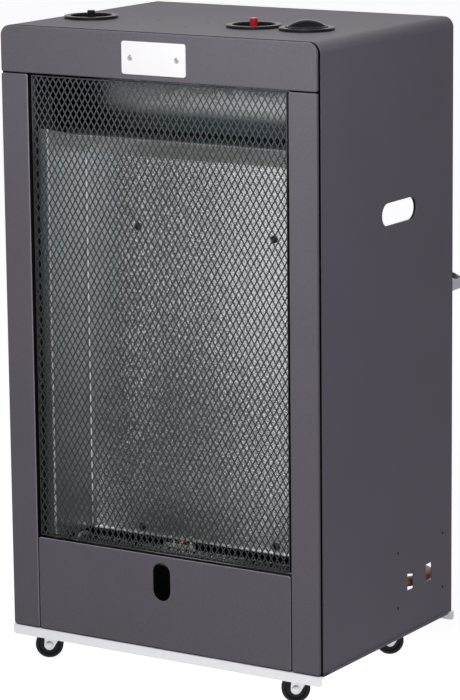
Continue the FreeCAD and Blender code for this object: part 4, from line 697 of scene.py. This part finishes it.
def seam_strip(side, sign):
    """A thin dark strip of painted shade that closes the seam over a post."""
    name = "seam_shade_strip_" + side
    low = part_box("front_post_" + side)[1].z + STRIP_ROOM
    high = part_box("front_fascia")[0].z - STRIP_ROOM
    verts = [(sign * x / MM, (FRONT_Y + depth) / MM, z) for z in (low, high) for x, depth in STRIP_PLAN]
    count = len(STRIP_PLAN)
    faces = [tuple(range(count)), tuple(range(count, 2 * count))]
    faces += [(k, (k + 1) % count, count + (k + 1) % count, count + k) for k in range(count)]
    new_object(name, built_mesh(name, verts, faces), "cabinet", PAINTED_SHADE)


seam_strip("left", -1)
seam_strip("right", 1)

# Dark band of painted shade round the front panels, where they meet the bent casing, in millimetres
SEAM_FRONT = 3.8
SEAM_BACK = 7.6
SEAM_PROUD = 0.12
SEAM_SINK = 0.3
BEND = 12.0
BEND_STEPS = 10


def seam_outline(grow):
    """The casing's outline seen from the front, from foot to foot over the top."""
    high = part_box("front_fascia")[1]
    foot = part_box("front_post_left")[0].z * MM
    half = high.x * MM
    top = high.z * MM
    reach = BEND + grow
    points = [(-half - grow, foot)]
    for sign, first in ((-1, 0.0), (1, math.pi / 2)):
        for k in range(BEND_STEPS + 1):
            angle = first + k * math.pi / 2 / BEND_STEPS
            points.append((sign * (half - BEND) - math.cos(angle) * reach,
                           top - BEND + math.sin(angle) * reach))
    return points + [(half + grow, foot)]


def seam_mesh():
    """A strip along the outline, from four edges."""
    edges = ((SEAM_FRONT, SEAM_PROUD), (SEAM_BACK, SEAM_PROUD), (SEAM_BACK, -SEAM_SINK),
             (SEAM_FRONT, -SEAM_SINK))
    rows = [(depth, seam_outline(grow)) for depth, grow in edges]
    count = len(rows[0][1])
    verts = [Vector((x, FRONT_Y + depth, z)) / MM for depth, outline in rows for x, z in outline]
    faces = [tuple(end + row * count for row in range(len(rows))) for end in (0, count - 1)]
    for row in range(len(rows)):
        a = row * count
        b = (row + 1) % len(rows) * count
        faces += [(a + k, a + k + 1, b + k + 1, b + k) for k in range(count - 1)]
    return built_mesh("front_seam_shade", verts, faces)


new_object("front_seam_shade", seam_mesh(), "cabinet", PAINTED_SHADE)

# Dark discs of painted shade that stand a little below the rims of the small holes in the deck and the
# right side
HOLE_RADIUS = 1.7
SHADE_DISC_STEPS = 16
SHADE_DISC_PROFILE = [(0.9 * HOLE_RADIUS, 0.3), (HOLE_RADIUS, 0.15), (HOLE_RADIUS, 0.9)]
DECK_HOLES = [(-39.7 + x, 99.0 + depth) for x in (-33.5, 33.5) for depth in (-23.5, 23.5)]
SIDE_HOLES = [(232.7 + depth, 68.2 + z) for depth in (-53.65, 53.65) for z in (-33.0, 33.0)]


def hole_shade_mesh():
    """Discs of painted shade in the deck and the right side, each measured inwards from the sheet's
    face.
    """
    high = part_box("casing_wrap")[1]
    verts = []
    faces = []
    for x, depth in DECK_HOLES:
        middle = Vector((x / MM, (FRONT_Y + depth) / MM, high.z))
        add_rings(verts, faces, middle, X_AXIS, Y_AXIS, -Z_AXIS, SHADE_DISC_PROFILE, SHADE_DISC_STEPS)
    for depth, height in SIDE_HOLES:
        middle = Vector((high.x, (FRONT_Y + depth) / MM, (TRAY_TOP + height) / MM))
        add_rings(verts, faces, middle, Y_AXIS, Z_AXIS, -X_AXIS, SHADE_DISC_PROFILE, SHADE_DISC_STEPS)
    return built_mesh("hole_shade_discs", verts, faces)


new_object("hole_shade_discs", hole_shade_mesh(), "cabinet", PAINTED_SHADE)

# Rivet heads of the plate, each a ring with a dimple
RIVET_PROFILE = [(0.9, 0.35), (1.2, 0.75), (1.7, 0.95), (2.4, 0.85), (3.0, 0.5), (3.3, 0.0)]
RIVET_STEPS = 24


def rivet_mesh():
    """Both heads, each measured outwards from the plate's face."""
    low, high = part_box("name_plate_rivets")
    radius = (high.z - low.z) / 2
    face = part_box("name_plate")[0].y
    verts = []
    faces = []
    for x in (low.x + radius, high.x - radius):
        middle = Vector((x, face, (low.z + high.z) / 2))
        add_rings(verts, faces, middle, X_AXIS, Z_AXIS, -Y_AXIS, RIVET_PROFILE, RIVET_STEPS)
    return built_mesh("rivet_heads", verts, faces)


rivets = new_object("rivet_heads", rivet_mesh(), "cabinet", RIVET)
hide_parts("name_plate_rivets")

# Camera, from the perspective of the casing's corners, with its focal length in pixels of the frame
YAW = math.radians(32.373)
PITCH = math.radians(11.665)
ROLL = math.radians(-0.594)
CAMERA_PLACE = (2012.4, -3022.5, 1100.9)
FOCAL_PIXELS = 3282.6
FRAME_PIXELS = 700
SENSOR = 36.0
camera = bpy.data.objects.new("camera", bpy.data.cameras.new("camera"))
bpy.context.scene.collection.objects.link(camera)
camera.data.sensor_width = SENSOR
camera.data.lens = FOCAL_PIXELS / FRAME_PIXELS * SENSOR
camera.data.clip_start = 0.1
camera.data.clip_end = 60.0
forward = Vector((-math.sin(YAW) * math.cos(PITCH), math.cos(YAW) * math.cos(PITCH), -math.sin(PITCH)))
right = Vector((math.cos(YAW), math.sin(YAW), 0.0))
upward = right.cross(forward)
turn = Matrix((right, upward, -forward)).transposed() @ Matrix.Rotation(ROLL, 3, "Z")
camera.matrix_world = Matrix.Translation(at(*CAMERA_PLACE)) @ turn.to_4x4()
bpy.context.scene.camera = camera

# Light and floor
AMBIENT = (0.138, 0.135, 0.161, 1.0)
FLOOR_COLOUR = (0.75, 0.75, 0.75, 1.0)
FLOOR_GLOW = 0.86
FLOOR_HALF = 14.0


def panel(name, place, target, side, power):
    """A square studio lamp that faces a target."""
    data = bpy.data.lights.new(name, "AREA")
    data.shape = "RECTANGLE"
    data.size = data.size_y = side
    data.energy = power
    lamp = bpy.data.objects.new(name, data)
    bpy.context.scene.collection.objects.link(lamp)
    lamp.location = place
    lamp.rotation_euler = (Vector(target) - Vector(place)).to_track_quat("-Z", "Y").to_euler()


panel("key", place=(0.4, -1.0, 1.3), target=(0.08, -0.18, 0.5), side=0.7, power=15)
panel("overhead", place=(0.2, 0.1, 2.3), target=(0.0, 0.0, 0.7), side=1.2, power=2.0)


def background_seen(tree):
    """One where the camera, metal or glass looks at the background, and zero for other light."""
    path = tree.nodes.new("ShaderNodeLightPath")
    seen = path.outputs["Is Camera Ray"]
    for name in ("Is Glossy Ray", "Is Transmission Ray"):
        either = tree.nodes.new("ShaderNodeMath")
        either.operation = "MAXIMUM"
        tree.links.new(seen, either.inputs[0])
        tree.links.new(path.outputs[name], either.inputs[1])
        seen = either.outputs[0]
    return seen


world = bpy.data.worlds.new("studio")
bpy.context.scene.world = world
world.use_nodes = True
tree = world.node_tree
tree.nodes.clear()
out = tree.nodes.new("ShaderNodeOutputWorld")
mixed = tree.nodes.new("ShaderNodeMixShader")
white = tree.nodes.new("ShaderNodeBackground")
ambient = tree.nodes.new("ShaderNodeBackground")
white.inputs["Color"].default_value = WHITE
ambient.inputs["Color"].default_value = AMBIENT
tree.links.new(background_seen(tree), mixed.inputs[0])
tree.links.new(ambient.outputs[0], mixed.inputs[1])
tree.links.new(white.outputs[0], mixed.inputs[2])
tree.links.new(mixed.outputs[0], out.inputs[0])

# Floor, white where it is lit and shaded under the object
floor_mesh = bpy.data.meshes.new("floor")
floor_mesh.from_pydata([(x * FLOOR_HALF, y * FLOOR_HALF, 0) for x, y in CORNERS], [], [(0, 1, 2, 3)])
floor = bpy.data.objects.new("floor", floor_mesh)
bpy.context.scene.collection.objects.link(floor)
floor_material = bpy.data.materials.new("floor")
floor_material.use_nodes = True
tree = floor_material.node_tree
tree.nodes.clear()
out = tree.nodes.new("ShaderNodeOutputMaterial")
diffuse = tree.nodes.new("ShaderNodeBsdfDiffuse")
diffuse.inputs["Color"].default_value = FLOOR_COLOUR
glow = tree.nodes.new("ShaderNodeEmission")
level = tree.nodes.new("ShaderNodeMath")
level.operation = "MULTIPLY"
level.inputs[1].default_value = FLOOR_GLOW
tree.links.new(background_seen(tree), level.inputs[0])
tree.links.new(level.outputs[0], glow.inputs["Strength"])
total = tree.nodes.new("ShaderNodeAddShader")
tree.links.new(diffuse.outputs[0], total.inputs[0])
tree.links.new(glow.outputs[0], total.inputs[1])
tree.links.new(total.outputs[0], out.inputs["Surface"])
floor_mesh.materials.append(floor_material)

bpy.context.scene.view_settings.view_transform = "Standard"
